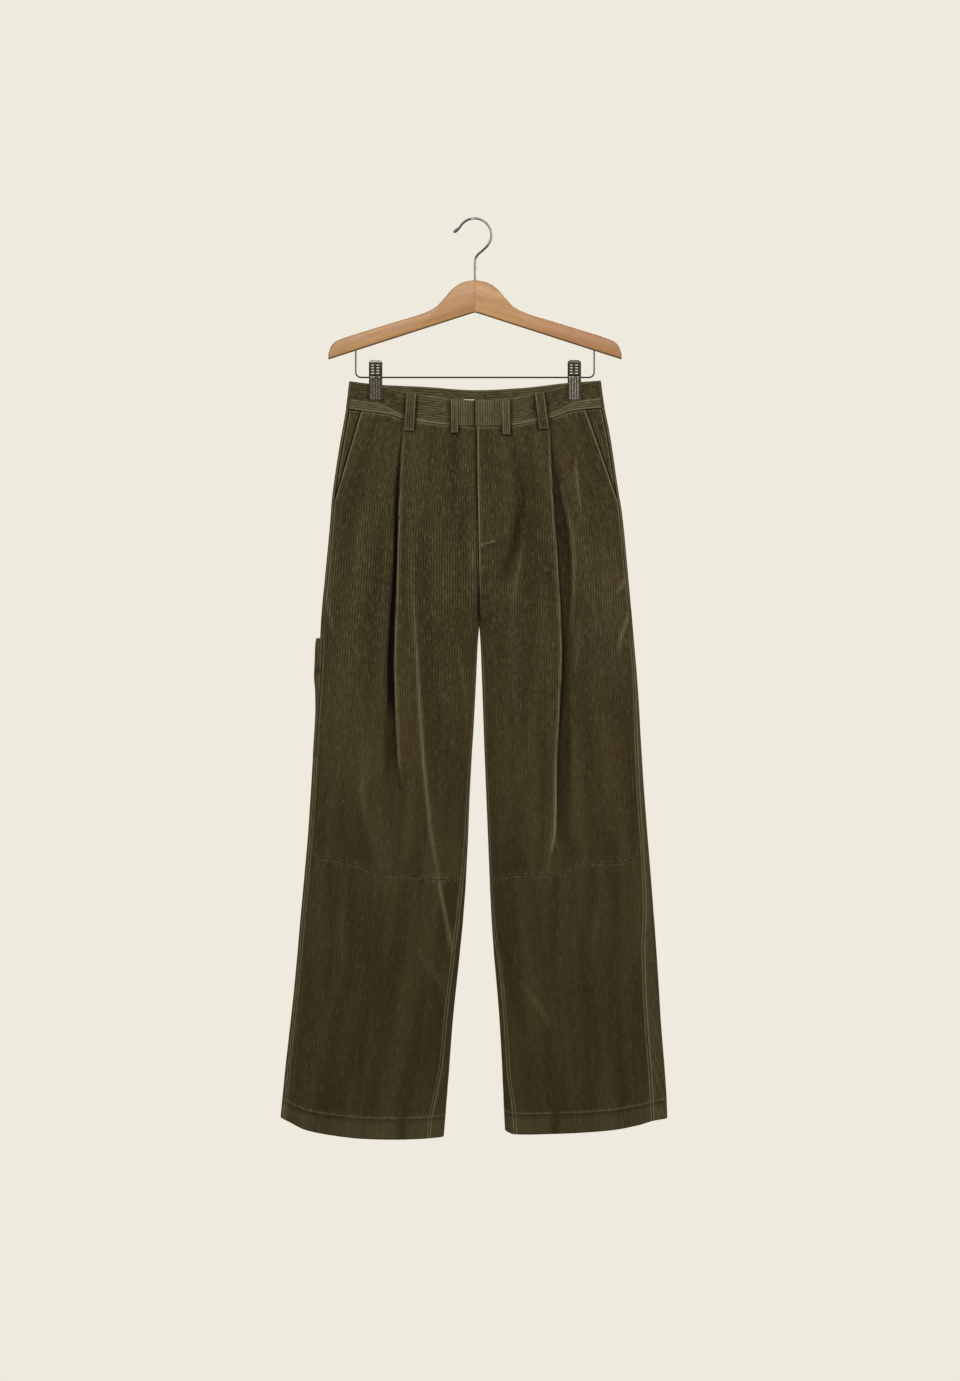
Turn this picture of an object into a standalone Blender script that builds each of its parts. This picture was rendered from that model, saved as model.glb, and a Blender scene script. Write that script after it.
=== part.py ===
"""Wide-leg corduroy trousers with one pleat on each front, hung by the waist from a wooden clip hanger.

Metres, +Z up, the front faces -Y. The origin is the inside of the top of the hook, where a rail
carries it. Right and left are the wearer's, so the right leg is at -X. Along a panel, u is the
distance outward from the hanger's middle (X for the left leg, -X for the right one), and w is the
distance of the cloth's middle surface from the plane of the hanger.
"""

import math

import bmesh
import bpy
import numpy as np

MM = 0.001

# Cloth
WALL = 1.3 * MM
BAND_WALL = 2.2 * MM
LOOP_WALL = 1.6 * MM
LABEL_WALL = 0.8 * MM
GAP = 0.3 * MM
BAND_SEAM = 0.45 * MM
HEM_TURN = 30 * MM

# Heights that the panels are laid out from, at the side seams
BAND_BOTTOM = -284.5 * MM
POCKET_BOTTOM = -422 * MM
CROTCH = -603.8 * MM
KNEE = -972 * MM
HEM = -1360 * MM

# Waist, held flat by the clips and sagging open between them
CLIP_AT = 149 * MM
PINCH = 1.3 * MM
PINCH_REACH = 12 * MM
END_OPENING = 1.4 * MM
SAG = {"front": 17 * MM, "back": 5 * MM}
SAG_SHARPNESS = 1.6
END_REACH = 14 * MM
PINCH_FADE = (-262 * MM, 120 * MM)

# Hips to legs: where one wide tube becomes two
CENTRE_LINE = ((-700, 6.6), (-603.8, 6.6), (-312, 3.0), (-240, 3.0))
FORK_ROUND = 52 * MM
FORK_FADE = (-500 * MM, 190 * MM)
LEAST_OPENING = 0.8 * MM
# Exponent of the section's outer half: 2 is an ellipse, more is fuller
SECTION_FULLNESS = 2.3
FORK_SEAM_BELOW = 0.1 * MM
INSEAM_LEAST = 1.0 * MM

# Half thickness of the hanging tube (mm): height, front, back
DEPTHS = (
    (-1380, 24, 23), (-1200, 23, 23), (-1000, 22, 22), (-800, 21, 21),
    (-600, 21, 20), (-450, 19, 17), (-350, 16, 13), (-284, 14, 9),
)

# Outer edge of each leg (mm): height, u
OUTER_EDGE = {
    "right": (
        (-1350, 291), (-1272, 283.3), (-1151, 270), (-1044, 260.5), (-929, 250), (-872, 246),
        (-766, 239.8), (-680, 233.5), (-601, 230), (-546, 225), (-459, 216.6), (-422, 213.9),
        (-343, 202.7), (-285, 192.8), (-243, 187.8),
    ),
    "left": (
        (-1350, 287.6), (-1312, 286.1), (-1205, 278.1), (-1098, 271.3), (-991, 263.2),
        (-843, 251.6), (-700, 243), (-628, 237.2), (-534, 228.8), (-440, 219.5), (-405, 213.8),
        (-323, 201.3), (-278, 192.6), (-242, 187.7),
    ),
}

# Inner edge of each leg below the crotch (mm): height, u
INNER_EDGE = {
    "right": (
        (-1376, 47.7), (-1272, 39.6), (-1205, 34.3), (-1098, 23.5), (-1044, 18.2), (-944, 12),
        (-872, 9.2), (-743, 2), (-685, -0.9), (-628, -3.8), (-604, -6.2),
    ),
    "left": (
        (-1370, 46.3), (-1320, 43.7), (-1259, 41), (-1192, 36.9), (-1058, 26.2), (-944, 21),
        (-800, 15.2), (-714, 12.3), (-642, 9.5), (-604, 7.0),
    ),
}

# How far the seams lie inside those edges, on the front (mm): height, inset
OUTSEAM_INSET = {
    "right": ((-1347, 6), (-1151, 5), (-900, 5), (-422, 3.7), (-240, 3.7)),
    "left": (
        (-1347, 22.5), (-1165, 22), (-1097, 20), (-1021, 12), (-900, 9), (-780, 7), (-645, 4),
        (-422, 3.4), (-240, 3.4),
    ),
}
INSEAM_INSET = {
    "right": ((-1346, 22), (-1259, 12), (-1151, 10.5), (-1045, 8), (-944, 4), (-700, 1), (-604, 1)),
    "left": ((-1369, 15), (-1331, 14), (-1274, 9), (-1125, 8), (-1072, 4), (-944, 2), (-604, 1)),
}

# Curved edges (mm), as u or X against height
BAND_TOP_FRONT = (
    (-187, -242.8), (-138, -250.3), (-104, -260.2), (-60, -266.5), (-38, -270.5), (3, -272.8),
    (43, -270.5), (89, -262.2), (138, -249.9), (187, -241.5),
)
BAND_TOP_BACK = (
    (-187, -242.8), (-138, -248.1), (-80, -250.5), (4, -255.5), (73, -252.2), (135, -245.5),
    (187, -241.5),
)
BAND_BOTTOM_FRONT = (
    (-193, -284.2), (-160, -289), (-131, -292.7), (-107, -300.2), (-85, -304), (-37, -310.2),
    (3, -312), (49, -311.1), (92, -303.2), (113, -299), (150, -287.2), (192, -283),
)
BAND_BOTTOM_BACK = (
    (-193, -284.2), (-138, -289.5), (-80, -292), (4, -297), (73, -293.7), (135, -287), (192, -283),
)
KNEE_LINE = {
    "right": ((14, -990.8), (52, -989.2), (100, -984), (150, -979.5), (172, -969), (254, -951.8)),
    "left": ((22, -986.2), (42, -984), (123, -981.2), (152, -966), (212, -965), (260, -950.2)),
}
HEM_LINE = {
    "right": (
        (48, -1375.6), (107, -1377.6), (160, -1376.4), (214, -1371), (254, -1363), (278, -1352.2),
        (291, -1347),
    ),
    "left": (
        (46, -1367.1), (58, -1371), (115, -1369), (168, -1366.4), (208, -1362.6), (243, -1356.4),
        (270, -1349.7), (288, -1348),
    ),
}

# Pleats: the outer edge of the fold (mm): height, u
PLEAT_EDGE = {
    "right": (
        (-960, 118), (-871, 120), (-811, 126), (-721, 129), (-601, 126), (-511, 120), (-421, 117),
        (-285, 107),
    ),
    "left": (
        (-960, 117), (-886, 121), (-772, 125.2), (-700, 128.1), (-642, 131), (-534, 125.6),
        (-447, 120.4), (-360, 114.3), (-285, 112),
    ),
}
# Width of the open valley beside the fold (mm): height, width
PLEAT_VALLEY = {
    "right": ((-900, 13), (-781, 13), (-691, 10), (-511, 8), (-421, 7), (-330, 5)),
    "left": ((-940, 22), (-743, 24), (-601, 11), (-509, 24), (-435, 18), (-385, 11), (-330, 6)),
}
PLEAT_DEPTH = 25 * MM
PLEAT_END_DEPTH = 5 * MM
PLEAT_LAYER = 1.9 * MM
PLEAT_SHAPE_OPEN = 6 * MM
PLEAT_LIFT_REACH = 32 * MM
PLEAT_VALLEY_DEPTH = 3 * MM
PLEAT_UNDER_REACH = 18 * MM
# Small ridge past the valley: how far past it, half width, height
PLEAT_RIDGE = (5 * MM, 7 * MM, 1.6 * MM)
PLEAT_OPENS = {"right": (-800 * MM, 90 * MM), "left": (-860 * MM, 85 * MM)}

# Main creases (mm): half, face, u and height of start, middle and end, half width, height outward
CREASE_CLEAR_OF_EDGE = 26 * MM
CREASES = (
    ("right", "front", (100, -470), (77, -800), (51, -1020), 15, 5),
    ("right", "front", (166, -760), (168, -857), (148, -960), 12, 3),
    ("left", "front", (77, -350), (65, -484), (43, -560), 12, -4),
    ("left", "front", (70, -1020), (62, -1120), (80, -1240), 16, 3),
    ("right", "front", (150, -1040), (165, -1150), (158, -1290), 18, 3),
    ("right", "back", (95, -430), (120, -700), (100, -980), 17, 5),
    ("right", "back", (170, -960), (150, -1130), (165, -1300), 16, -3),
    ("left", "back", (105, -450), (128, -690), (112, -940), 17, 5),
    ("left", "back", (160, -980), (172, -1140), (150, -1310), 16, 3),
)

# Fly: the left front laps over the right one
FLY_BOTTOM = -490 * MM
FLY_LAP_BOTTOM = -450 * MM
FLY_FADE = 25 * MM
FLY_LAP = 6 * MM
FLY_STEP = 1.0 * MM
FLY_REACH = 22 * MM

# Slant pockets: the opening's edge (mm): height, u
POCKET_SLOT = {"right": ((-422, 210.2), (-285, 170)), "left": ((-422, 213.6), (-285, 166))}
FACING_UNDER = 10 * MM
FACING_ROWS = 7

# Tool pocket on the back of the right leg, folded round the side seam
TOOL_POCKET_ROWS = (-628 * MM, -670 * MM, -720 * MM, -765 * MM, -805 * MM)
TOOL_POCKET_COLUMNS = 10
TOOL_POCKET_FOLD_COLUMNS = 4
# How far the edge stands out past the fold (mm): height, distance
TOOL_POCKET_PUFF = ((-815, 0), (-765, 0.2), (-735, 0.8), (-706, 3.5), (-680, 6.2), (-640, 5.5), (-628, 4))

# Waist tabs that meet at the middle: X of the ends (mm)
TAB_RIGHT = (-36, 0)
TAB_LEFT = (0, 48)
TAB_PROUD = 0.6 * MM
# First guesses for the side seam's X and the waistband's height, which are then refined
SIDE_SEAM_ABOUT = 190 * MM
BAND_MIDDLE_ABOUT = -262 * MM

# Belt loops (mm): name, face, X at top, X at bottom, width, length, arch clear of the waistband
LOOPS = (
    ("belt_loop_front_right", "front", -94.8, -98.7, 15, 57, 7.4),
    ("belt_loop_front_left", "front", 96.3, 102, 15, 57, 7),
    ("belt_loop_fly_right", "front", -29.3, -29.3, 14, 50, 5),
    ("belt_loop_fly_left", "front", 43, 44, 13, 54, 5),
    ("belt_loop_back_right", "back", -108, -110, 15, 57, 5),
    ("belt_loop_back_left", "back", 108, 110, 15, 57, 5),
    ("belt_loop_back_centre", "back", 3, 3, 15, 57, 5),
)
TAB_EASE = 8 * MM
LOOP_EASE = 0.15 * MM
LOOP_BELOW_TOP = 0.5 * MM
# Heights beside a row of a loop whose cloth it has to clear
LOOP_FEEL = (-4 * MM, 0, 4 * MM)
# Share of the loop's length, share of the arch
LOOP_SHAPE = ((0, 0), (0.05, 0), (0.14, 0.7), (0.24, 1), (0.5, 1), (0.76, 1), (0.86, 0.7), (0.95, 0), (1, 0))

# Plain label inside the waistband's right end
LABEL_X = (-17 * MM, -1 * MM)
LABEL_TOP = -271.4 * MM
LABEL_BOTTOM = -296 * MM

# Hanger
WOOD_THICK = 12 * MM
WOOD_ROUND = 2.5 * MM
WOOD_APEX = -139 * MM
WOOD_TIP = (219.8 * MM, -209.7 * MM)
# Upper outline of one arm (mm): X, height
WOOD_TOP = (
    (0, -91), (17, -94.3), (33, -103.8), (46, -118.5), (59, -131.8), (76, -140.5), (120, -154.2),
    (160, -166.6), (200, -179.4), (209, -183.5), (216, -191), (219.3, -201),
)
WOOD_STEPS = 17
HOOK_WIRE = 1.7 * MM
HOOK_RADIUS = 25 * MM
HOOK_SHIFT = -0.5 * MM
HOOK_ARC = (-45, 152)
# From the arc down to the wood, and from the arc to the tip (mm): X, height
HOOK_NECK = ((0, -90.4), (0, -76), (0, -62), (1.6, -56), (5.5, -51.3), (11.5, -46.6))
HOOK_FLARE = ((-25.6, -14.6), (-28, -16.4), (-29, -17.2), (-30.8, -18.6), (-31.9, -19.4))
# Share of the wire's radius at the last points of the tip
HOOK_TIP_SWELL = (1, 1.45, 1.45, 0.8)
BAR_WIRE = 1.2 * MM
BAR_AT = 178.8 * MM
BAR_HEIGHT = -236.9 * MM
BAR_CORNER = 8 * MM
CLIP_WIDTH = 20 * MM
# Clip plate (mm): height, inner face, outer face, share of the width
CLIP_PLATE = (
    (-211.2, 3.4, 4.8, 0.8), (-213.2, 3.3, 5.2, 1), (-224.5, 2.6, 4.9, 1), (-233.5, 1.5, 4.4, 1),
    (-239.5, 1.5, 4.4, 1), (-242.5, 2.9, 4.8, 1), (-266.5, 2.9, 4.9, 1), (-267.2, 2.9, 5.6, 1),
    (-269.8, 2.9, 5.4, 1),
)

SIDES = {"right": -1, "left": 1}
FACES = {"front": -1, "back": 1}


def start_clean():
    for thing in list(bpy.data.objects):
        bpy.data.objects.remove(thing, do_unlink=True)


def material(name, colour, roughness, metallic=0.0):
    made = bpy.data.materials.get(name) or bpy.data.materials.new(name)
    made.use_nodes = True
    shader = made.node_tree.nodes["Principled BSDF"]
    shader.inputs["Base Color"].default_value = (*colour, 1)
    shader.inputs["Roughness"].default_value = roughness
    shader.inputs["Metallic"].default_value = metallic
    return made


def corduroy():
    return material("corduroy", (0.053, 0.041, 0.018), 0.9)


def white_label():
    return material("label_cloth", (0.78, 0.77, 0.72), 0.8)


def beech():
    return material("beech", (0.50, 0.28, 0.125), 0.45)


def steel():
    return material("steel", (0.42, 0.40, 0.36), 0.3, 1.0)


def bronze_steel():
    return material("bronze_steel", (0.16, 0.13, 0.085), 0.35, 1.0)


# Curves and steps


def smooth(table, at):
    """A smooth curve through a table's first and second columns, without overshoot. Both in mm."""
    rows = np.array(sorted(row[:2] for row in table), float) * MM
    x, y = rows[:, 0], rows[:, 1]
    step = np.diff(x)
    slope = np.diff(y) / step
    total = slope[1:] + slope[:-1]
    same_way = slope[1:] * slope[:-1] > 0
    inner = np.where(same_way, 2 * slope[1:] * slope[:-1] / np.where(same_way, total, 1), 0)
    tangent = np.concatenate([slope[:1], inner, slope[-1:]])
    at = np.clip(at, x[0], x[-1])
    i = np.clip(np.searchsorted(x, at) - 1, 0, len(step) - 1)
    t = (at - x[i]) / step[i]
    ends = y[i] * (1 + 2 * t) * (1 - t) ** 2 + y[i + 1] * t**2 * (3 - 2 * t)
    return ends + step[i] * t * (1 - t) * (tangent[i] * (1 - t) - tangent[i + 1] * t)


def ease(t):
    """From 0 to 1 as t goes from 0 to 1, level at both ends."""
    t = np.clip(t, 0, 1)
    return t * t * (3 - 2 * t)


def falling(z, start, reach):
    """From 0 at start to 1 at reach below it."""
    return ease((start - z) / reach)


# The hanging tube


def centre_u(side, z):
    return SIDES[side] * smooth(CENTRE_LINE, z)


def inner_u(side, z):
    return np.where(z > CROTCH - FORK_SEAM_BELOW, centre_u(side, z), smooth(INNER_EDGE[side], z))


def outer_u(side, z):
    return smooth(OUTER_EDGE[side], z)


def outseam_u(side, z):
    return outer_u(side, z) - smooth(OUTSEAM_INSET[side], z)


def plain_depth(face, s, z):
    """Half thickness of the hanging tube where nothing pinches it. s is -1 inside and 1 outside."""
    column = {"front": 1, "back": 2}[face]
    deep = smooth([(row[0], row[column]) for row in DEPTHS], z)
    peak = -1 + ease((FORK_FADE[0] - z) / FORK_FADE[1])
    outward = np.clip((s - peak) / (1 - peak), 0, 1)
    inward = np.clip((peak - s) / np.maximum(1 + peak, 1e-6), 0, 1)
    drop = np.clip((CROTCH + FORK_ROUND - z) / FORK_ROUND, 0, 1)
    open_share = np.maximum(np.sqrt(1 - drop**2), LEAST_OPENING / deep)
    open_share = np.where(z > CROTCH - FORK_SEAM_BELOW, open_share, 0)
    outside = (1 - outward**SECTION_FULLNESS) ** (1 / SECTION_FULLNESS)
    inside = np.sqrt(np.maximum(1 - (1 - open_share**2) * inward**2, 0))
    return deep * np.where(s > peak, outside, inside)


def pinched_depth(face, u, edge):
    """Half thickness at the waist: flat under the clips, sagging between them."""
    away = np.abs(u)
    inside = CLIP_AT - PINCH_REACH
    sag = SAG[face] * np.clip(1 - (away / inside) ** 2, 0, 1) ** SAG_SHARPNESS
    beyond = END_OPENING * ease((away - CLIP_AT - PINCH_REACH) / END_REACH)
    round_end = PINCH + END_OPENING
    to_end = np.clip(1 - (edge - away) / round_end, 0, 1)
    return (PINCH + sag + beyond) * np.sqrt(np.maximum(1 - to_end**2, 0))


def crease_height(side, face, u, z):
    """The main creases of one half and face, as a distance outward."""
    total = np.zeros(np.broadcast(u, z).shape)
    for half, which, start, middle, end, width, height in CREASES:
        if (half, which) != (side, face):
            continue
        path = smooth([(p[1], p[0]) for p in (start, middle, end)], z)
        length = (start[1] - end[1]) * MM
        along = np.clip((start[1] * MM - z) / length, 0, 1)
        taper = np.sin(math.pi * along) ** 0.7
        total += height * MM * taper * np.exp(-(((u - path) / (width * MM)) ** 2))
    return total


def depth(side, face, u, z):
    """Distance of one face's middle surface from the hanger's plane."""
    inner, outer = inner_u(side, z), outer_u(side, z)
    s = np.clip((2 * u - inner - outer) / (outer - inner), -1, 1)
    hanging = plain_depth(face, s, z)
    pinched = pinched_depth(face, u, outer)
    share = falling(z, *PINCH_FADE)
    from_edges = np.minimum(u - inner, outer - u)
    steady = np.where(z > CROTCH, outer - u, from_edges)
    away = ease(steady / CREASE_CLEAR_OF_EDGE) * share
    return pinched + (hanging - pinched) * share + crease_height(side, face, u, z) * away


# Where rows of the panels run


def side_of(x):
    return "right" if x < 0 else "left"


def row_heights(side, face, nominal, u):
    """The height of a row at u: rows follow the waistband, the knee seam and the hem."""
    band = {"front": BAND_BOTTOM_FRONT, "back": BAND_BOTTOM_BACK}[face]
    x = SIDES[side] * u
    top = (smooth(band, x) - BAND_BOTTOM) * (1 - falling(nominal, BAND_BOTTOM, 130 * MM))
    knee = (smooth(KNEE_LINE[side], u) - KNEE) * (1 - ease(abs(nominal - KNEE) / (80 * MM)))
    hem = (smooth(HEM_LINE[side], u) - HEM) * falling(nominal, HEM + 150 * MM, 150 * MM)
    return nominal + top + knee + hem


def settle(side, face, nominal, place):
    """u and z of points whose u depends on their height and whose height depends on u."""
    u = place(nominal)
    for _ in range(3):
        z = row_heights(side, face, nominal, u)
        u = place(z)
    return u, z


# Points and solids


def outward_offsets(points, sign):
    """For each row of points, the direction outward in plan, stretched at corners to keep the wall even."""
    flat = points[..., :2]
    along = np.diff(flat, axis=1)
    along /= np.maximum(np.linalg.norm(along, axis=2, keepdims=True), 1e-9)
    normal = sign * np.stack([along[..., 1], -along[..., 0]], axis=2)
    before = np.concatenate([normal[:, :1], normal], axis=1)
    after = np.concatenate([normal, normal[:, -1:]], axis=1)
    meeting = np.maximum(1 + (before * after).sum(axis=2, keepdims=True), 0.6)
    result = np.zeros_like(points)
    result[..., :2] = (before + after) / meeting
    return result


def seam_direction(side, x, z):
    """Outward from the front at a seam, the same for both pieces that meet there."""
    u, step = SIDES[side] * x, 0.1 * MM
    slope = (depth(side, "front", u + step, z) - depth(side, "front", u - step, z)) / (2 * step)
    length = np.sqrt(1 + slope**2)
    return np.stack([-SIDES[side] * slope / length, -1 / length, np.zeros_like(length)], axis=-1)


def leg_seams(side, outseam, inseam):
    """Columns of a panel at its seams, each with the height below which it is sewn there."""
    return ((side, outseam, 0), (side, inseam, CROTCH - FORK_SEAM_BELOW))


def layered(points, sign, out, inside, seams=()):
    """The outer and inner points of a wall round a grid of middle points."""
    normal = outward_offsets(points, sign)
    for side, column, top in seams:
        rows = points[:, column, 2] < top
        x, z = points[rows, column, 0], points[rows, column, 2]
        normal[rows, column] = seam_direction(side, x, z)
    out, inside = (np.asarray(value, float) for value in (out, inside))
    out = out[:, None, None] if out.ndim == 1 else out
    inside = inside[:, None, None] if inside.ndim == 1 else inside
    return points + normal * out, points - normal * inside


def square_to_centre(outer, inner, points, column):
    """From the fly to the crotch, the wall ends upright in the plane of the centre seam."""
    above = (points[:, column, 2] > CROTCH - FORK_SEAM_BELOW) & (points[:, column, 2] < FLY_LAP_BOTTOM)
    for grid in (outer, inner):
        grid[above, column, 0] = points[above, column, 0]


def grid_faces(rows, columns, start, flip=False):
    """Triangles split along the same diagonal on every layer, so that layers stay parallel."""
    faces = []
    for r in range(rows - 1):
        for c in range(columns - 1):
            a = start + r * columns + c
            for face in ((a, a + 1, a + 1 + columns), (a, a + 1 + columns, a + columns)):
                faces.append(face[::-1] if flip else face)
    return faces


def wall(name, outer, inner, finish):
    """A closed wall between two grids of points."""
    rows, columns = outer.shape[:2]
    count = rows * columns
    index = np.arange(count).reshape(rows, columns)
    rim = np.concatenate([index[0], index[1:, -1], index[-1, -2::-1], index[-2:0:-1, 0]])
    faces = grid_faces(rows, columns, 0) + grid_faces(rows, columns, count, flip=True)
    for a, b in zip(rim, np.roll(rim, -1)):
        faces.append((a, a + count, b + count, b))
    points = np.concatenate([outer.reshape(-1, 3), inner.reshape(-1, 3)])
    return solid(name, points, faces, finish)


def solid(name, points, faces, finish):
    mesh = bpy.data.meshes.new(name)
    mesh.from_pydata([tuple(p) for p in points], [], [tuple(int(i) for i in f) for f in faces])
    work = bmesh.new()
    work.from_mesh(mesh)
    bmesh.ops.recalc_face_normals(work, faces=work.faces)
    work.to_mesh(mesh)
    work.free()
    mesh.materials.append(finish)
    made = bpy.data.objects.new(name, mesh)
    bpy.context.collection.objects.link(made)
    return made


def panel_points(side, u, z, w, face):
    """Middle points from distances along a half, heights and distances from the hanger's plane."""
    return np.stack([SIDES[side] * u, FACES[face] * w, z], axis=-1)


# Fronts


def fly_shift(side, u, z):
    """The left front rises over the lap of the fly and the right front sinks under it."""
    near = 1 - ease((u - centre_u(side, z)) / FLY_REACH)
    live = ease((z - FLY_BOTTOM) / FLY_FADE)
    return (FLY_STEP if side == "left" else -FLY_STEP) * near * live


def pleat_open(side, z):
    """0 where the pleat is folded, 1 where it has opened out flat."""
    return falling(z, *PLEAT_OPENS[side])


def pleat_depth(side, z):
    top, reach = PLEAT_OPENS[side]
    down = np.clip((BAND_BOTTOM - z) / (BAND_BOTTOM - top), 0, 1)
    return PLEAT_DEPTH + (PLEAT_END_DEPTH - PLEAT_DEPTH) * down


def pleat_lift(side, u, z):
    """How far the top layer stands out beside the fold, on its inner side."""
    to_edge = smooth(PLEAT_EDGE[side], z) - u
    near = 1 - ease((np.maximum(to_edge, 0) - pleat_depth(side, z)) / PLEAT_LIFT_REACH)
    return PLEAT_LAYER * near * (1 - pleat_open(side, z)) * (to_edge > -1e-9)


def pleat_columns(side, z):
    """u and w of the four corners of the fold, from the top layer to the bottom one."""
    edge, deep = smooth(PLEAT_EDGE[side], z), pleat_depth(side, z)
    opened = pleat_open(side, z)
    columns = []
    for fold_u, fold_w, flat_u in ((0, 1, -1.5), (0, 0.08, -0.5), (-1, -0.08, 0.5), (-1, -1, 1.5)):
        folded, flat = edge + fold_u * deep, edge + flat_u * PLEAT_SHAPE_OPEN
        u = folded + (flat - folded) * opened
        w = depth(side, "front", u, z) + fold_w * PLEAT_LAYER * (1 - opened)
        columns.append((u, w))
    return columns


def outside_pleat(side, u, z):
    """w of the layer that comes out from under the fold: a valley, a small ridge, then the plain front."""
    past = u - smooth(PLEAT_EDGE[side], z)
    wide = smooth(PLEAT_VALLEY[side], z)
    shut = 1 - pleat_open(side, z)
    under = -PLEAT_LAYER * (1 - ease((past - wide) / PLEAT_UNDER_REACH))
    valley = -PLEAT_VALLEY_DEPTH * np.exp(-(((past - 0.5 * wide) / (0.5 * wide)) ** 2))
    beyond, half_width, height = PLEAT_RIDGE
    ridge = height * np.exp(-(((past - wide - beyond) / half_width) ** 2))
    return depth(side, "front", u, z) + shut * (under + valley + ridge)


def front_inner_u(side, z):
    above = centre_u(side, z) + np.where(
        (z > FLY_LAP_BOTTOM) & (side == "right"), -FLY_LAP, 0.5 * GAP
    )
    inset = np.maximum(smooth(INSEAM_INSET[side], z), INSEAM_LEAST)
    return np.where(z > CROTCH - FORK_SEAM_BELOW, above, inner_u(side, z) + inset)


def front_outer_u(side, z):
    slot = smooth(POCKET_SLOT[side], z)
    return np.where(z > POCKET_BOTTOM, np.minimum(slot, outseam_u(side, z)), outseam_u(side, z))


# Shares of the way from the inner seam to the pleat, and from the pleat to the outer seam
INNER_SHARES = (0, 0.05, 0.15, 0.32, 0.5, 0.7, 0.86)
OUTER_SHARES = (0.03, 0.12, 0.3, 0.5, 0.7, 0.87, 1)


def toward(share):
    """Columns that close up toward 1."""
    return math.sin(0.5 * math.pi * share)


UPPER_ROWS = (
    BAND_BOTTOM - 0.5 * GAP, -298 * MM, -320 * MM, -350 * MM, -385 * MM, POCKET_BOTTOM, -465 * MM,
    -485 * MM, -520 * MM, -560 * MM, -585 * MM, CROTCH, -628 * MM, -670 * MM, -720 * MM, -765 * MM,
    -805 * MM, -850 * MM, -895 * MM, -940 * MM, KNEE + 0.5 * GAP,
)
LOWER_ROWS = (
    KNEE - 0.5 * GAP, -1010 * MM, -1050 * MM, -1095 * MM, -1140 * MM, -1190 * MM, -1240 * MM,
    -1290 * MM, HEM + HEM_TURN + 1 * MM, HEM + HEM_TURN, HEM,
)


def front_panel(side, part, nominal_rows, inside):
    """A stretch of the front, with the pleat's corners in every row."""
    rows = []
    for nominal in nominal_rows:
        columns = []
        for share in INNER_SHARES:

            def place(z, share=share):
                first = front_inner_u(side, z)
                return first + share * (smooth(PLEAT_EDGE[side], z) - first)

            u, z = settle(side, "front", nominal, place)
            w = depth(side, "front", u, z) + pleat_lift(side, u, z) + fly_shift(side, u, z)
            columns.append((u, z, w))
        z = row_heights(side, "front", nominal, smooth(PLEAT_EDGE[side], nominal))
        for u, w in pleat_columns(side, z):
            columns.append((u, row_heights(side, "front", nominal, u), w))
        for share in OUTER_SHARES:

            def place(z, share=share):
                first = smooth(PLEAT_EDGE[side], z) + 2 * PLEAT_SHAPE_OPEN * pleat_open(side, z)
                return first + toward(share) * (front_outer_u(side, z) - first)

            u, z = settle(side, "front", nominal, place)
            columns.append((u, z, outside_pleat(side, u, z)))
        rows.append(columns)
    u, z, w = np.moveaxis(np.array(rows, float), 2, 0)
    points = panel_points(side, u, z, w, "front")
    outer, inner = layered(points, SIDES[side], 0.5 * WALL, inside, leg_seams(side, -1, 0))
    square_to_centre(outer, inner, points, 0)
    return wall(f"front_{part}_{side}", outer, inner, corduroy())


def hem_inside(rows):
    """Inner half of the wall for each row: the turned hem doubles it."""
    return np.where(np.array(rows) <= HEM + HEM_TURN + 1e-9, 1.5 * WALL, 0.5 * WALL)


# Backs


def ring_point(side, turn, z):
    """A point of the section: turn is 0 at the inner edge, pi at the outer one, 2 pi inside again."""
    inner, outer = inner_u(side, z), outer_u(side, z)
    u = 0.5 * (inner + outer) - 0.5 * (outer - inner) * math.cos(turn)
    back = math.pi <= turn <= 2 * math.pi
    face = "back" if back else "front"
    reach = depth(side, face, u, z)
    return SIDES[side] * u, FACES[face] * reach


def wrap_turn(side, z, inset):
    """How far round the edge of the section a seam lies that is this far inside it."""
    width = outer_u(side, z) - inner_u(side, z)
    return math.acos(1 - 2 * float(inset) / float(width))


def back_turns(side, z):
    first = math.pi - wrap_turn(side, z, smooth(OUTSEAM_INSET[side], z) - GAP)
    if z > CROTCH - FORK_SEAM_BELOW:
        return first, 2 * math.pi
    inset = max(float(smooth(INSEAM_INSET[side], z)), INSEAM_LEAST) - GAP
    return first, 2 * math.pi + wrap_turn(side, z, inset)


BACK_ROWS = UPPER_ROWS[:-1] + (KNEE,) + LOWER_ROWS[1:]
BACK_COLUMNS = 18


def back_points(side, rows, shares):
    """Middle points of the back at shares of its way from the outseam round to the inseam."""
    found = []
    for nominal in rows:
        row = []
        for share in shares:
            z = float(nominal)
            for _ in range(3):
                first, last = back_turns(side, z)
                turn = first + share * (last - first)
                x, y = ring_point(side, turn, z)
                z = float(row_heights(side, "back", float(nominal), SIDES[side] * x))
            x, y = ring_point(side, turn, z)
            if share == 1 and z > CROTCH - FORK_SEAM_BELOW:
                x += SIDES[side] * 0.5 * GAP
            row.append((x, y, z))
        found.append(row)
    return np.array(found, float)


def back(side):
    """One piece from waistband to hem, folded round both edges of the leg."""
    points = back_points(side, BACK_ROWS, np.linspace(0, 1, BACK_COLUMNS))
    outer, inner = layered(
        points, SIDES[side], 0.5 * WALL, hem_inside(BACK_ROWS), leg_seams(side, 0, -1)
    )
    square_to_centre(outer, inner, points, -1)
    return wall(f"back_{side}", outer, inner, corduroy())


# Pockets


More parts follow.
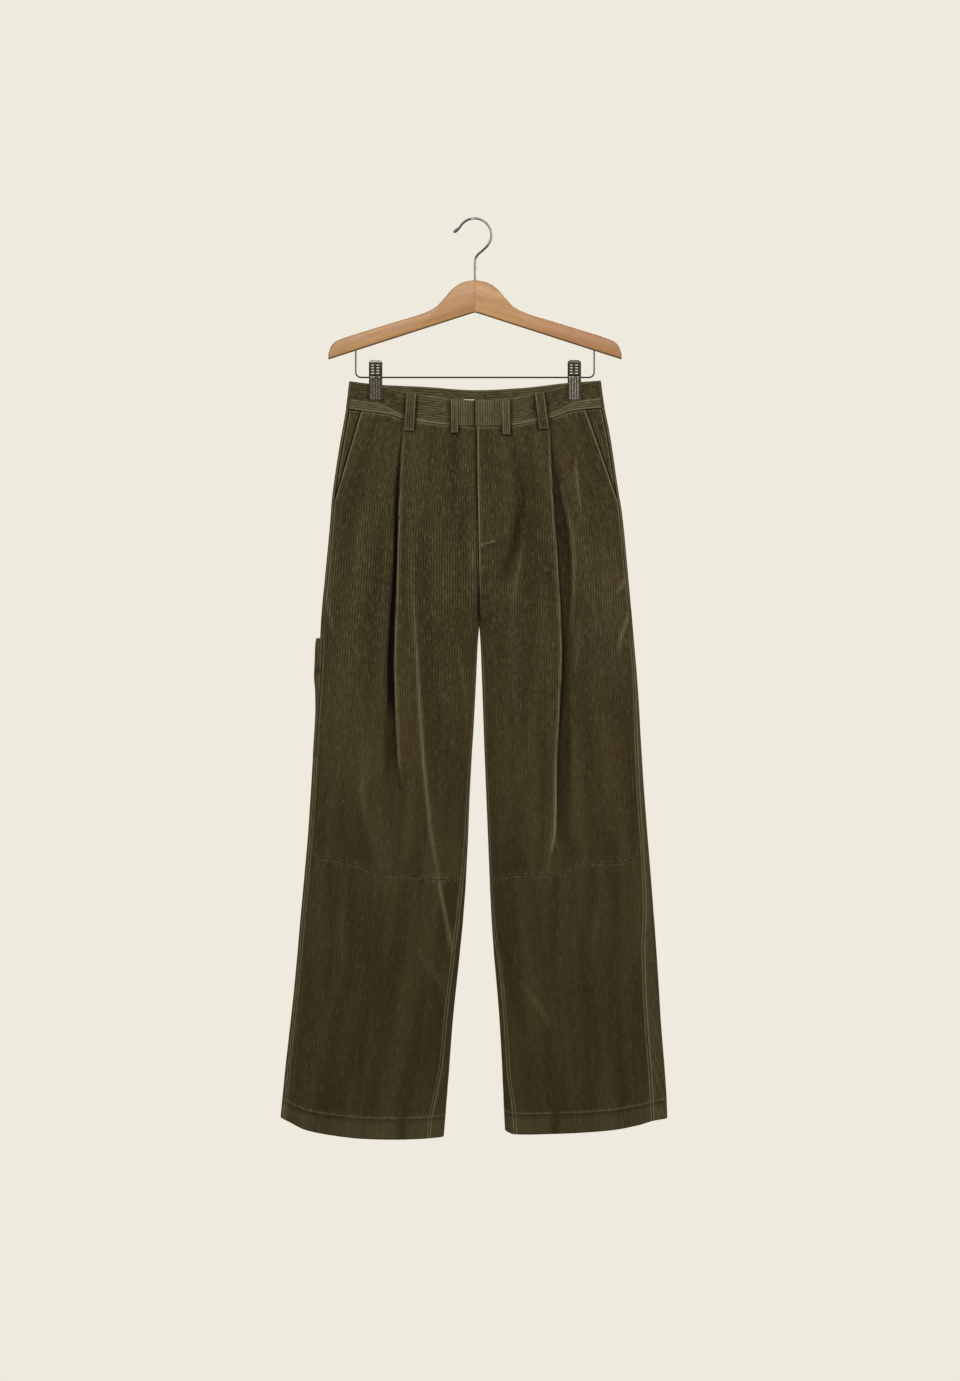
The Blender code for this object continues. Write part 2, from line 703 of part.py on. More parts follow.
def pocket_facing(side):
    """The side piece behind the slanted opening, one layer further in than the front."""
    rows = []
    for nominal in UPPER_ROWS[:FACING_ROWS]:
        columns = []
        for share in np.linspace(0, 1, 7):

            def place(z, share=share):
                first = smooth(POCKET_SLOT[side], z) - FACING_UNDER
                last = outseam_u(side, z) - GAP
                return first + toward(share) * (last - first)

            u, z = settle(side, "front", nominal, place)
            columns.append((u, z, depth(side, "front", u, z) - WALL - 2 * GAP))
        rows.append(columns)
    u, z, w = np.moveaxis(np.array(rows, float), 2, 0)
    points = panel_points(side, u, z, w, "front")
    outer, inner = layered(points, SIDES[side], 0.5 * WALL, 0.5 * WALL)
    return wall(f"pocket_facing_{side}", outer, inner, corduroy())


def tool_pocket():
    """A patch on the right back, made from its points, whose edge stands away at the side fold."""
    shares = np.linspace(0, 1, BACK_COLUMNS)
    points = back_points("right", TOOL_POCKET_ROWS, shares)
    outer, inner = layered(
        points, SIDES["right"], 1.5 * WALL + GAP, -0.5 * WALL - GAP, (("right", 0, 0),)
    )
    near_fold = 1 - ease(np.arange(TOOL_POCKET_COLUMNS) / TOOL_POCKET_FOLD_COLUMNS)
    puff = smooth(TOOL_POCKET_PUFF, points[:, :TOOL_POCKET_COLUMNS, 2]) * near_fold
    outer, inner = outer[:, :TOOL_POCKET_COLUMNS], inner[:, :TOOL_POCKET_COLUMNS]
    outer[..., 0] -= puff
    inner[..., 0] -= puff
    return wall("tool_pocket_right", outer, inner, corduroy())


# Waistband


def band_depth(face, x, z):
    side = side_of(x)
    return depth(side, face, SIDES[side] * x, z)


def band_heights(face, x, share):
    """From the waistband's top (0) to its bottom (1) at X."""
    top = {"front": BAND_TOP_FRONT, "back": BAND_TOP_BACK}[face]
    bottom = {"front": BAND_BOTTOM_FRONT, "back": BAND_BOTTOM_BACK}[face]
    low = smooth(bottom, x) + BAND_SEAM
    high = smooth(top, x)
    return high + share * (low - high)


BAND_SHARES = (0, 0.33, 0.66, 1)


def side_seam_x(side, share):
    """X of the side seam on the front of the waistband, at a share of its height."""
    x = SIDES[side] * SIDE_SEAM_ABOUT
    for _ in range(3):
        z = band_heights("front", x, share)
        x = SIDES[side] * float(outseam_u(side, z))
    return x


def band_piece(name, first, last, count, proud=0.0):
    """A stretch of the front of the waistband between two X, where None is the side seam."""
    rows = []
    for share in BAND_SHARES:
        row = []
        start = side_seam_x("right", share) if first is None else first
        end = side_seam_x("left", share) if last is None else last
        for step in np.linspace(0, 1, count):
            x = start + step * (end - start)
            z = float(band_heights("front", x, share))
            row.append((x, -float(band_depth("front", x, z)) - proud, z))
        rows.append(row)
    seams = [("right", 0, 0)] * (first is None) + [("left", -1, 0)] * (last is None)
    outer, inner = layered(np.array(rows, float), 1, 0.5 * BAND_WALL, 0.5 * BAND_WALL, seams)
    return wall(name, outer, inner, corduroy())


def waistband_front():
    half = 0.5 * GAP
    right, middle, left = TAB_RIGHT[0] * MM, TAB_RIGHT[1] * MM, TAB_LEFT[1] * MM
    band_piece("waistband_front_right", None, right - half, 14)
    band_piece("waist_tab_right", right + half, middle - half, 5, TAB_PROUD)
    band_piece("waist_tab_left", middle + half, left - half, 6, TAB_PROUD)
    band_piece("waistband_front_left", left + half, None, 14)


def waistband_back():
    """Across the back and round both ends, to the side seams on the front."""
    rows = []
    for share in BAND_SHARES:
        row = []
        for side, steps in (("right", np.linspace(0, 1, 15)), ("left", np.linspace(1, 0, 15)[1:])):
            for step in steps:
                z = BAND_MIDDLE_ABOUT
                for _ in range(3):
                    first = math.pi - wrap_turn(side, z, smooth(OUTSEAM_INSET[side], z) - GAP)
                    turn = first + step * (2 * math.pi - first)
                    x, y = ring_point(side, turn, z)
                    z = float(band_heights("front" if y < 0 else "back", x, share))
                row.append((x, y, z))
        rows.append(row)
    seams = (("right", 0, 0), ("left", -1, 0))
    outer, inner = layered(np.array(rows, float), -1, 0.5 * BAND_WALL, 0.5 * BAND_WALL, seams)
    return wall("waistband_back", outer, inner, corduroy())


def surface_reach(face, x, z):
    """Distance of the outermost cloth face from the hanger's plane, waistband and pleat included."""
    side = side_of(x)
    u = SIDES[side] * x
    bottom = {"front": BAND_BOTTOM_FRONT, "back": BAND_BOTTOM_BACK}[face]
    base = float(depth(side, face, u, z))
    if z > float(smooth(bottom, x)) - 1 * MM:
        by_tabs = TAB_RIGHT[0] * MM - TAB_EASE < x < TAB_LEFT[1] * MM + TAB_EASE
        return base + 0.5 * BAND_WALL + (TAB_PROUD if face == "front" and by_tabs else 0)
    if face == "front":
        base += float(pleat_lift(side, u, z)) + max(float(fly_shift(side, u, z)), 0)
    return base + 0.5 * WALL


def belt_loop(name, face, x_top, x_bottom, width, length, clear):
    """A strip sewn down at both ends, and flat and arched clear of the waistband for a belt."""
    top = {"front": BAND_TOP_FRONT, "back": BAND_TOP_BACK}[face]
    rows = []
    for share, arch in LOOP_SHAPE:
        middle = (x_top + share * (x_bottom - x_top)) * MM
        z = float(smooth(top, middle)) - share * length * MM - LOOP_BELOW_TOP
        across = [middle + side * 0.5 * width * MM for side in (-1, 0, 1)]
        near = [max(surface_reach(face, x, z + step) for step in LOOP_FEEL) for x in across]
        off = GAP + 0.5 * LOOP_WALL + LOOP_EASE + arch * clear * MM
        reach = [r + arch * (max(near) - r) + off for r in near]
        rows.append([(x, FACES[face] * r, z) for x, r in zip(across, reach)])
    points = np.array(rows, float)
    outer, inner = layered(points, -FACES[face], 0.5 * LOOP_WALL, 0.5 * LOOP_WALL)
    return wall(name, outer, inner, corduroy())


def label():
    """A plain label behind the waistband's right end, its top edge just showing."""
    rows = []
    for z in (LABEL_TOP, LABEL_BOTTOM):
        rows.append(
            [
                (x, -float(band_depth("front", x, z)) + 0.5 * BAND_WALL + GAP + 0.5 * LABEL_WALL, z)
                for x in np.linspace(*LABEL_X, 4)
            ]
        )
    outer, inner = layered(np.array(rows, float), 1, 0.5 * LABEL_WALL, 0.5 * LABEL_WALL)
    return wall("label", outer, inner, white_label())


# Hanger


def hanger_wood():
    """Two sloping arms and a round hump, cut from one thickness."""
    xs = WOOD_TIP[0] * np.sin(0.5 * math.pi * np.linspace(0, 1, WOOD_STEPS)) ** 0.9
    half = [(float(x), float(smooth(WOOD_TOP, x))) for x in xs]
    right = [(-x, z) for x, z in half[:0:-1]]
    outline = right + half + [WOOD_TIP, (0, WOOD_APEX), (-WOOD_TIP[0], WOOD_TIP[1])]
    count = len(outline)
    points = [(x, y, z) for y in (-0.5 * WOOD_THICK, 0.5 * WOOD_THICK) for x, z in outline]
    faces = [tuple(range(count)), tuple(range(2 * count - 1, count - 1, -1))]
    faces += [(i, (i + 1) % count, (i + 1) % count + count, i + count) for i in range(count)]
    made = solid("hanger_wood", points, faces, beech())
    rounding = made.modifiers.new("rounding", "BEVEL")
    rounding.width = WOOD_ROUND
    rounding.segments = 2
    rounding.angle_limit = math.radians(50)
    return made


def wire(name, path, radius, finish, swell=()):
    """A round wire along a path, whose last points may be thicker."""
    curve = bpy.data.curves.new(name, "CURVE")
    curve.dimensions = "3D"
    curve.bevel_depth = radius
    curve.bevel_resolution = 2
    curve.use_fill_caps = True
    spline = curve.splines.new("POLY")
    spline.points.add(len(path) - 1)
    for point, (x, z) in zip(spline.points, path):
        point.co = (x, 0, z, 1)
    for point, share in zip(spline.points[len(path) - len(swell) :], swell):
        point.radius = share
    curve.materials.append(finish)
    made = bpy.data.objects.new(name, curve)
    bpy.context.collection.objects.link(made)
    return made


def hanger_hook():
    """Straight neck, round hook and a flared tip."""
    centre = HOOK_WIRE - HOOK_RADIUS
    path = [(x * MM, z * MM) for x, z in HOOK_NECK]
    for angle in np.radians(np.linspace(*HOOK_ARC, 19)):
        path.append((HOOK_SHIFT + HOOK_RADIUS * math.cos(angle), centre + HOOK_RADIUS * math.sin(angle)))
    path += [(x * MM, z * MM) for x, z in HOOK_FLARE]
    return wire("hanger_hook", path, HOOK_WIRE, steel(), HOOK_TIP_SWELL)


def hanger_bar():
    """The wire below the arms that carries the clips."""
    slope = (WOOD_APEX - WOOD_TIP[1]) / WOOD_TIP[0]
    top = WOOD_APEX - slope * (BAR_AT + BAR_WIRE) - GAP - 0.2 * MM
    half = [(BAR_AT, top), (BAR_AT, BAR_HEIGHT + BAR_CORNER)]
    for angle in np.radians((22.5, 45, 67.5, 90)):
        x = BAR_AT - BAR_CORNER + BAR_CORNER * math.cos(angle)
        half.append((x, BAR_HEIGHT + BAR_CORNER - BAR_CORNER * math.sin(angle)))
    path = half + [(-x, z) for x, z in half[::-1]]
    return wire("hanger_bar", path, BAR_WIRE, bronze_steel())


def clip_plate(side, face):
    """One jaw of a clip: an outer plate that passes the bar and grips the waistband."""
    middle = SIDES[side] * CLIP_AT
    outer, inner = [], []
    for height, near, far, share in CLIP_PLATE:
        edges = [middle - 0.5 * CLIP_WIDTH * share, middle + 0.5 * CLIP_WIDTH * share]
        outer.append([(x, FACES[face] * far * MM, height * MM) for x in edges])
        inner.append([(x, FACES[face] * near * MM, height * MM) for x in edges])
    return wall(f"clip_{side}_{face}", np.array(outer), np.array(inner), bronze_steel())


def build():
    start_clean()
    for side in SIDES:
        front_panel(side, "upper", UPPER_ROWS, 0.5 * WALL)
        front_panel(side, "lower", LOWER_ROWS, hem_inside(LOWER_ROWS))
        back(side)
        pocket_facing(side)
        for face in FACES:
            clip_plate(side, face)
    tool_pocket()
    waistband_front()
    waistband_back()
    for row in LOOPS:
        belt_loop(*row)
    label()
    hanger_wood()
    hanger_hook()
    hanger_bar()


build()
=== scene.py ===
"""The looks of wide-leg corduroy trousers hung from a wooden clip hanger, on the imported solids.

Metres, +Z up, the front faces -Y, and the origin is the inside of the top of the hook. Right and left
are the wearer's. Along a panel, u is the distance outward from the hanger's middle (X for the left leg,
-X for the right one), and w is the distance of the cloth from the plane of the hanger.
"""

import math

import bmesh
import bpy
import numpy as np
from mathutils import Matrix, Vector
from mathutils.bvhtree import BVHTree


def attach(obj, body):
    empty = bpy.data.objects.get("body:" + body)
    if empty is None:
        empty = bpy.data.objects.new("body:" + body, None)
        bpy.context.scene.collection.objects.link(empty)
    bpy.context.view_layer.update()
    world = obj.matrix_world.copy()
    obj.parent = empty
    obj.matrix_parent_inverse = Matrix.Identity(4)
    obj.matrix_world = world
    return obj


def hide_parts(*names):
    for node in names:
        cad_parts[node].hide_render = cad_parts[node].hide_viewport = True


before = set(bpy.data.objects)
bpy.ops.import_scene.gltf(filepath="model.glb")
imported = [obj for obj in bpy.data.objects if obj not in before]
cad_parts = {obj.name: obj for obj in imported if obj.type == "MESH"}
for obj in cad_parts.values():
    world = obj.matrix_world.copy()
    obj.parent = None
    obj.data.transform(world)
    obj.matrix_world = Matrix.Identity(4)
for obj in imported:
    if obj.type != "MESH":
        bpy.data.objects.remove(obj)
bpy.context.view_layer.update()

MM = 0.001

# The cut and the hang of the cloth, as in the solids (mm where a table says so)
WALL = 1.3 * MM
BAND_WALL = 2.2 * MM
LOOP_WALL = 1.6 * MM
GAP = 0.3 * MM
HEM_TURN = 30 * MM
BAND_BOTTOM = -284.5 * MM
POCKET_BOTTOM = -422 * MM
CROTCH = -603.8 * MM
KNEE = -972 * MM
HEM = -1360 * MM
# The waist: flat under the clips, open at its ends and sagging between
CLIP_AT = 149 * MM
PINCH = 1.3 * MM
PINCH_REACH = 12 * MM
END_OPENING = 1.4 * MM
SAG = {"front": 17 * MM, "back": 5 * MM}
SAG_SHARPNESS = 1.6
END_REACH = 14 * MM
PINCH_FADE = (-262 * MM, 120 * MM)
CENTRE_LINE = ((-700, 6.6), (-603.8, 6.6), (-312, 3.0), (-240, 3.0))
# The crotch: how the legs' inner edges open and close
FORK_ROUND = 52 * MM
FORK_FADE = (-500 * MM, 190 * MM)
LEAST_OPENING = 0.8 * MM
SECTION_FULLNESS = 2.3
FORK_SEAM_BELOW = 0.1 * MM
INSEAM_LEAST = 1.0 * MM
# Half thickness of the hanging tube: height, front, back
DEPTHS = (
    (-1380, 24, 23), (-1200, 23, 23), (-1000, 22, 22), (-800, 21, 21),
    (-600, 21, 20), (-450, 19, 17), (-350, 16, 13), (-284, 14, 9),
)
# Outer and inner edges of the legs, and how far the seams lie inside them: height, distance
OUTER_EDGE = {
    "right": (
        (-1350, 291), (-1272, 283.3), (-1151, 270), (-1044, 260.5), (-929, 250), (-872, 246),
        (-766, 239.8), (-680, 233.5), (-601, 230), (-546, 225), (-459, 216.6), (-422, 213.9),
        (-343, 202.7), (-285, 192.8), (-243, 187.8),
    ),
    "left": (
        (-1350, 287.6), (-1312, 286.1), (-1205, 278.1), (-1098, 271.3), (-991, 263.2),
        (-843, 251.6), (-700, 243), (-628, 237.2), (-534, 228.8), (-440, 219.5), (-405, 213.8),
        (-323, 201.3), (-278, 192.6), (-242, 187.7),
    ),
}
INNER_EDGE = {
    "right": (
        (-1376, 47.7), (-1272, 39.6), (-1205, 34.3), (-1098, 23.5), (-1044, 18.2), (-944, 12),
        (-872, 9.2), (-743, 2), (-685, -0.9), (-628, -3.8), (-604, -6.2),
    ),
    "left": (
        (-1370, 46.3), (-1320, 43.7), (-1259, 41), (-1192, 36.9), (-1058, 26.2), (-944, 21),
        (-800, 15.2), (-714, 12.3), (-642, 9.5), (-604, 7.0),
    ),
}
OUTSEAM_INSET = {
    "right": ((-1347, 6), (-1151, 5), (-900, 5), (-422, 3.7), (-240, 3.7)),
    "left": (
        (-1347, 22.5), (-1165, 22), (-1097, 20), (-1021, 12), (-900, 9), (-780, 7), (-645, 4),
        (-422, 3.4), (-240, 3.4),
    ),
}
INSEAM_INSET = {
    "right": ((-1346, 22), (-1259, 12), (-1151, 10.5), (-1045, 8), (-944, 4), (-700, 1), (-604, 1)),
    "left": ((-1369, 15), (-1331, 14), (-1274, 9), (-1125, 8), (-1072, 4), (-944, 2), (-604, 1)),
}
# Curved edges: X or u, height
BAND_TOP = {
    "front": (
        (-187, -242.8), (-138, -250.3), (-104, -260.2), (-60, -266.5), (-38, -270.5), (3, -272.8),
        (43, -270.5), (89, -262.2), (138, -249.9), (187, -241.5),
    ),
    "back": (
        (-187, -242.8), (-138, -248.1), (-80, -250.5), (4, -255.5), (73, -252.2), (135, -245.5),
        (187, -241.5),
    ),
}
BAND_LOW = {
    "front": (
        (-193, -284.2), (-160, -289), (-131, -292.7), (-107, -300.2), (-85, -304), (-37, -310.2),
        (3, -312), (49, -311.1), (92, -303.2), (113, -299), (150, -287.2), (192, -283),
    ),
    "back": (
        (-193, -284.2), (-138, -289.5), (-80, -292), (4, -297), (73, -293.7), (135, -287), (192, -283),
    ),
}
KNEE_LINE = {
    "right": ((14, -990.8), (52, -989.2), (100, -984), (150, -979.5), (172, -969), (254, -951.8)),
    "left": ((22, -986.2), (42, -984), (123, -981.2), (152, -966), (212, -965), (260, -950.2)),
}
HEM_LINE = {
    "right": (
        (48, -1375.6), (107, -1377.6), (160, -1376.4), (214, -1371), (254, -1363), (278, -1352.2),
        (291, -1347),
    ),
    "left": (
        (46, -1367.1), (58, -1371), (115, -1369), (168, -1366.4), (208, -1362.6), (243, -1356.4),
        (270, -1349.7), (288, -1348),
    ),
}
# The knee seam's dashes (distance below it, share), and where the long ridge crosses it
KNEE_DASHES = ((-6.5 * MM, 0.16), (-3 * MM, 0.4), (1.5 * MM, 0.4), (5 * MM, 0.16))
KNEE_CROSSED = {"right": 57 * MM, "left": 116 * MM}
# How far below and above these lines the rows still follow them
BAND_FOLLOWS = 130 * MM
KNEE_FOLLOWS = 80 * MM
HEM_FOLLOWS = 150 * MM
# Pleats: the outer edge of the fold, and the valley beside it: height, distance
PLEAT_EDGE = {
    "right": (
        (-960, 110.5), (-871, 113), (-781, 116.5), (-721, 119), (-661, 120.5), (-601, 118.5),
        (-511, 115.5), (-421, 113), (-361, 110.5), (-285, 105.5),
    ),
    "left": (
        (-960, 119), (-900, 121.5), (-804, 122.5), (-721, 127), (-642, 129.5), (-534, 124.3),
        (-447, 118.8), (-360, 113.5), (-285, 111.5),
    ),
}
PLEAT_VALLEY = {
    "right": (
        (-900, 14), (-781, 15), (-721, 13), (-661, 11.7), (-601, 10.5), (-541, 8.4), (-481, 7.4),
        (-421, 8), (-361, 5), (-330, 3),
    ),
    "left": (
        (-940, 20), (-820, 19), (-743, 14), (-661, 9), (-601, 13), (-541, 20), (-509, 21), (-451, 18),
        (-421, 13), (-391, 9), (-361, 4), (-330, 3),
    ),
}
# The fold's depth at the top and where it opens, the distance between its layers, and its reaches
PLEAT_DEPTH = 25 * MM
PLEAT_END_DEPTH = 5 * MM
PLEAT_LAYER = 1.9 * MM
PLEAT_SHAPE_OPEN = 6 * MM
PLEAT_LIFT_REACH = 32 * MM
PLEAT_UNDER_REACH = 18 * MM
# Low ridge beyond the valley: how far, half width, height
PLEAT_RIDGE = (5 * MM, 7 * MM, 1.6 * MM)
# Where it opens out: height, and over what distance
PLEAT_OPENS = {"right": (-800 * MM, 80 * MM), "left": (-920 * MM, 45 * MM)}
# How deep the cloth dives beside the fold: height, depth
PLEAT_DIVE = {
    "right": ((-900, 5), (-780, 9), (-690, 13), (-540, 13), (-450, 9), (-380, 5), (-300, 2)),
    "left": ((-940, 2), (-860, 4), (-740, 7), (-600, 8), (-500, 8), (-430, 6), (-370, 4), (-310, 2)),
}
# Painted shade in the valley and painted highlight on the fold's edge: height, per mille
PLEAT_SHADE = {
    "right": (
        (-900, 0), (-841, 260), (-810, 430), (-780, 600), (-750, 800), (-720, 930), (-690, 970),
        (-520, 990), (-440, 960), (-400, 800), (-360, 650), (-320, 300),
    ),
    "left": (
        (-960, 0), (-901, 260), (-841, 440), (-781, 600), (-741, 950), (-661, 980), (-601, 950),
        (-541, 930), (-451, 880), (-391, 880), (-361, 600), (-320, 300),
    ),
}
PLEAT_LIT = {
    "right": ((-860, 0), (-820, 600), (-600, 750), (-420, 700), (-300, 350)),
    "left": ((-965, 0), (-945, 1400), (-890, 1500), (-840, 1100), (-780, 750), (-420, 720), (-300, 420)),
}
# The valley's middle and reach, as shares of its width, and its steepness
PLEAT_DIVE_SHAPE = {"right": (0.5, 0.62, 6), "left": (0.45, 0.6, 4)}
# The valley's shadow is sharp above these heights, and below the next one it is wide and flat
PLEAT_SOFTENS = {"right": -770 * MM, "left": -640 * MM}
PLEAT_SOFTENING = 60 * MM
PLEAT_FLAT = (-740 * MM, 60 * MM)
PLEAT_WIDE = (15 * MM, 11 * MM)
PLEAT_BROAD = 12 * MM
PLEAT_SHARP = 1.4 * MM
PLEAT_LEFT_FADE = 4.6 * MM
# The lit edge lies this far inside the fold, and is this wide
PLEAT_LIT_AT = (1.5 * MM, 2.2 * MM)
# Corners of the fold: u and w where it is folded, u where it has opened
PLEAT_CORNERS = ((0, 1, -1.5), (0, 0.08, -0.5), (-1, -0.08, 0.5), (-1, -1, 1.5))
# The pocket's edge: how far it stands away, where that begins and ends, its lit edge, and the painted shade
# on the facing behind it
SLOT_LIFT = 1.1 * MM
SLOT_FADE = 30 * MM
SLOT_TOP = (-292 * MM, 14 * MM)
SLOT_REACH = 13 * MM
SLOT_LIT = (0.75, 1.2 * MM, 1.4 * MM)
FACING_DARK = (0.5 * MM, 2.6 * MM)
# The fly: the lap's step, the stretches where it shows, and its lit edge and shadow (share, place, width)
FLY_BOTTOM = -490 * MM
FLY_LAP_BOTTOM = -450 * MM
FLY_FADE = 25 * MM
FLY_LAP = 6 * MM
# The short seam that ends the fly: u and height of both ends
FLY_END = (6 * MM, -489 * MM, 31 * MM, -484 * MM)
# Painted shade where the seam under the fly gapes towards the crotch: where from, over what height, half
# width
SEAM_GAPE = (-528 * MM, 40 * MM, 1.9 * MM)
FLY_STEP = 1.3 * MM
FLY_REACH = 22 * MM
FLY_LIT = (0.2, 0.24, 9 * MM, 0.16)
FLY_LIT_AT = (2.2 * MM, 1.3 * MM)
FLY_DARK = (0.9, 3.2 * MM)
FLY_END_LIT = (1.1, 1.1 * MM)
FLY_END_DARK = (0.5, 2.4 * MM, 1.2 * MM)
FLY_END_FADE = 0.12
ABOVE_CROTCH = 12 * MM
POCKET_SLOT = {"right": ((-422, 210.2), (-285, 170)), "left": ((-422, 213.6), (-285, 166))}

# Folds of each half and face, broad ones and narrow ones: half width, height outward, then u and height
# along the fold. They flatten within these distances of the edges.
CREASE_CLEAR_OF_EDGE = 26 * MM
FOLD_CLEAR_OF_EDGE = 5 * MM
FOLD_ENDS = 0.7
CREASE_POWER, FOLD_POWER, PAINTED_PATCH_POWER = 2, 1.5, 2
CREASES = {
    ("right", "front"): (
        (15, 5, (100, -470), (77, -800), (51, -1020)),
        (12, 3, (166, -760), (168, -857), (148, -960)),
        (18, 3, (150, -1040), (165, -1150), (158, -1290)),
    ),
    ("left", "front"): (
        (12, -4, (77, -350), (65, -484), (43, -560)),
        (16, 3, (70, -1020), (62, -1120), (80, -1240)),
    ),
    ("right", "back"): (
        (17, 5, (95, -430), (120, -700), (100, -980)),
        (16, -3, (170, -960), (150, -1130), (165, -1300)),
    ),
    ("left", "back"): (
        (17, 5, (105, -450), (128, -690), (112, -940)),
        (16, 3, (160, -980), (172, -1140), (150, -1310)),
    ),
}
FOLDS = {
    ("right", "front"): (
        (4, 3.1, (98, -470), (92, -571), (88.5, -628), (83.5, -714), (78, -800), (72.5, -857),
         (66.5, -915), (57, -972), (49.5, -1018), (41.5, -1057), (32, -1098)),
        (2.4, 1.9, (57, -975), (49.5, -1018), (41.5, -1057), (36, -1079), (32, -1104)),
        (7, 1.7, (165.6, -740), (168.5, -857), (157, -915), (147, -975)),
        (5, 1.6, (30, -610), (20, -675), (9, -740)),
        (4, 2.3, (227, -530), (218, -590), (205, -645)),
        (9, 1.4, (98, -1085), (76, -1108), (60, -1130), (50, -1152), (44, -1180)),
        (6, -1.6, (70, -1138), (56, -1160), (48, -1200)),
        (5, 1.4, (44, -1060), (36, -1090), (30, -1110)),
        (10, 1.2, (200, -1010), (196, -1090), (206, -1180)),
        (9, 1.1, (170, -430), (176, -520), (190, -610)),
        (2.6, 2.5, (0.5, -488), (4, -515), (7, -542)),
    ),
    ("left", "front"): (
        (13, -2.2, (78, -335), (72, -422), (64, -484), (50, -513), (43, -555)),
        (6, -3.2, (72, -405), (66, -450), (61, -485), (52, -515), (46, -560)),
        (2.6, 1.3, (6, -498), (9, -522), (15, -548)),
        (6.5, 3.3, (117.5, -905), (116, -962), (113, -1010)),
        (4.5, 2.4, (84, -400), (76, -443), (71.5, -478), (66.5, -517), (58, -570), (50, -615)),
        (3.6, 2.7, (150, -345), (152.5, -391), (160, -450)),
        (4, 2.6, (126, -375), (137, -435), (145, -472), (147.5, -509), (147.5, -560), (143, -600),
         (140, -632)),
        (11, 1.9, (158, -585), (153, -632), (151, -690)),
        (3.5, 3.6, (232, -578), (226, -608), (218.5, -628), (214, -662)),
        (3.5, 3.4, (232, -528), (224, -543), (208, -568)),
        (5, 2.0, (175, -535), (180, -600), (187, -650)),
        (9, 1.3, (186, -1005), (180, -1060), (172, -1120)),
        (6, 1.7, (42, -1130), (62, -1142), (88, -1168), (124, -1230)),
        (5, 1.2, (40, -1085), (52, -1096), (62, -1112)),
        (8, 1.2, (78, -880), (72, -930), (80, -975)),
    ),
    ("right", "back"): (
        (5, 3.0, (92, -470), (112, -640), (118, -760), (104, -930)),
        (5, 2.6, (40, -640), (58, -700), (82, -780)),
        (4.5, 2.4, (30, -690), (46, -730), (62, -790)),
        (7, 2.2, (200, -560), (190, -700), (196, -820)),
        (6, 2.4, (70, -1060), (92, -1130), (90, -1230)),
    ),
    ("left", "back"): (
        (5, 3.0, (102, -480), (124, -620), (130, -740), (116, -900)),
        (5, 2.6, (36, -650), (56, -715), (78, -800)),
        (4.5, 2.4, (30, -700), (44, -745), (58, -800)),
        (7, 2.2, (206, -600), (198, -740), (206, -850)),
        (6, 2.4, (84, -1050), (98, -1130), (92, -1240)),
    ),
}
# Patches painted lighter (above 0) or darker on each half and face, as painted light and shade on broad
# folds:
# half width, per mille, then the path
PAINTED_PATCHES = {
    ("right", "front"): (
        (15, 160, (205, -390), (214, -480), (214, -600)),
        (8, 150, (166, -760), (167, -850), (156, -915), (144, -972)),
        (16, -240, (20, -750), (24, -850), (28, -950)),
        (22, -260, (52, -1170), (54, -1270), (60, -1390)),
        (24, -110, (165, -1200), (168, -1280), (170, -1370)),
        (24, 120, (120, -900), (132, -955), (140, -1010)),
    ),
    ("left", "front"): (
        (26, 210, (180, -470), (200, -590), (212, -720)),
        (7, -200, (65, -430), (62, -458), (60, -486), (54, -510), (44, -535)),
        (14, 90, (66, -540), (66, -620), (72, -720)),
        (3, 280, (230, -590), (222, -618), (214, -655)),
        (3, 260, (230, -532), (222, -546), (210, -566)),
        (12, 110, (126, -900), (128, -990), (128, -1150)),
        (18, -270, (34, -930), (38, -1030), (46, -1140)),
        (34, -190, (192, -960), (196, -1110), (186, -1290)),
    ),
    ("right", "back"): (
        (30, -160, (150, -420), (160, -640), (150, -900)),
    ),
    ("left", "back"): (
        (26, 140, (70, -480), (84, -700), (78, -980)),
        (30, -160, (190, -900), (180, -1080), (186, -1290)),
    ),
}
# Puckers beside the seams: heights (mm), and how far from the seam they lie and reach
PUCKERS = {"band": 0.55, "hem": 0.3, "knee": 0.55, "outseam": 0.5}
PUCKER_INSET = 5 * MM
PUCKER_REACH = 6 * MM
PUCKER_HEM_REACH = 5 * MM
# Marks: share, then distances. Painted highlight and shade on narrow ridges and troughs, the turned hem,
# the knee seam and sewn edges; the ridges' light is partly wear
RIDGE_LIT = (0.85, 2.8 * MM, 2.2)
TROUGH_DARK = (0.4, 3 * MM)
HEM_LIT = (0.5, 0.22, 0.8 * MM, 1.2 * MM)
HEM_GLOW = (0.16, 3 * MM)
HEM_DARK = (0.4, 2.0 * MM, 1.3 * MM)
KNEE_DASH = 1.1 * MM
KNEE_DARK = (0.3, 1.2 * MM)
# Where the long ridge crosses the knee seam: half width, more light, more dark, how far above the dashes
KNEE_CROSSING = (9 * MM, 0.55, 0.45, 2.4 * MM)
EDGE_LIT = (0.75, 2.1 * MM, 1.1 * MM)
EDGE_DARK = (0.55, 1.3 * MM)
# Painted highlight on the back's edge where it shows on the front: share everywhere, and more below a
# height, over a distance
OUTSEAM_LIT = (0.16, 0.2, -1000 * MM, 300 * MM)
# Slow unevenness of the hanging cloth: waves per metre across and down, height (mm)
WAVER = ((9, 2.1, 0.55), (17, -3.4, 0.35), (5, 5.2, 0.45), (29, 4.1, 0.16))

# Tool pocket on the right back, folded round the side seam: its top and bottom, the shares of the back's
# width that it covers, that its puff covers and that its edge rises over, and its rows of stitches
TOOL_POCKET = (-628 * MM, -805 * MM)
TOOL_POCKET_SHARE = 9 / 17
TOOL_POCKET_FOLD = 4 / 17
TOOL_POCKET_LIFTS = 0.024
TOOL_POCKET_ROWS = (-645.5 * MM, -678.5 * MM)
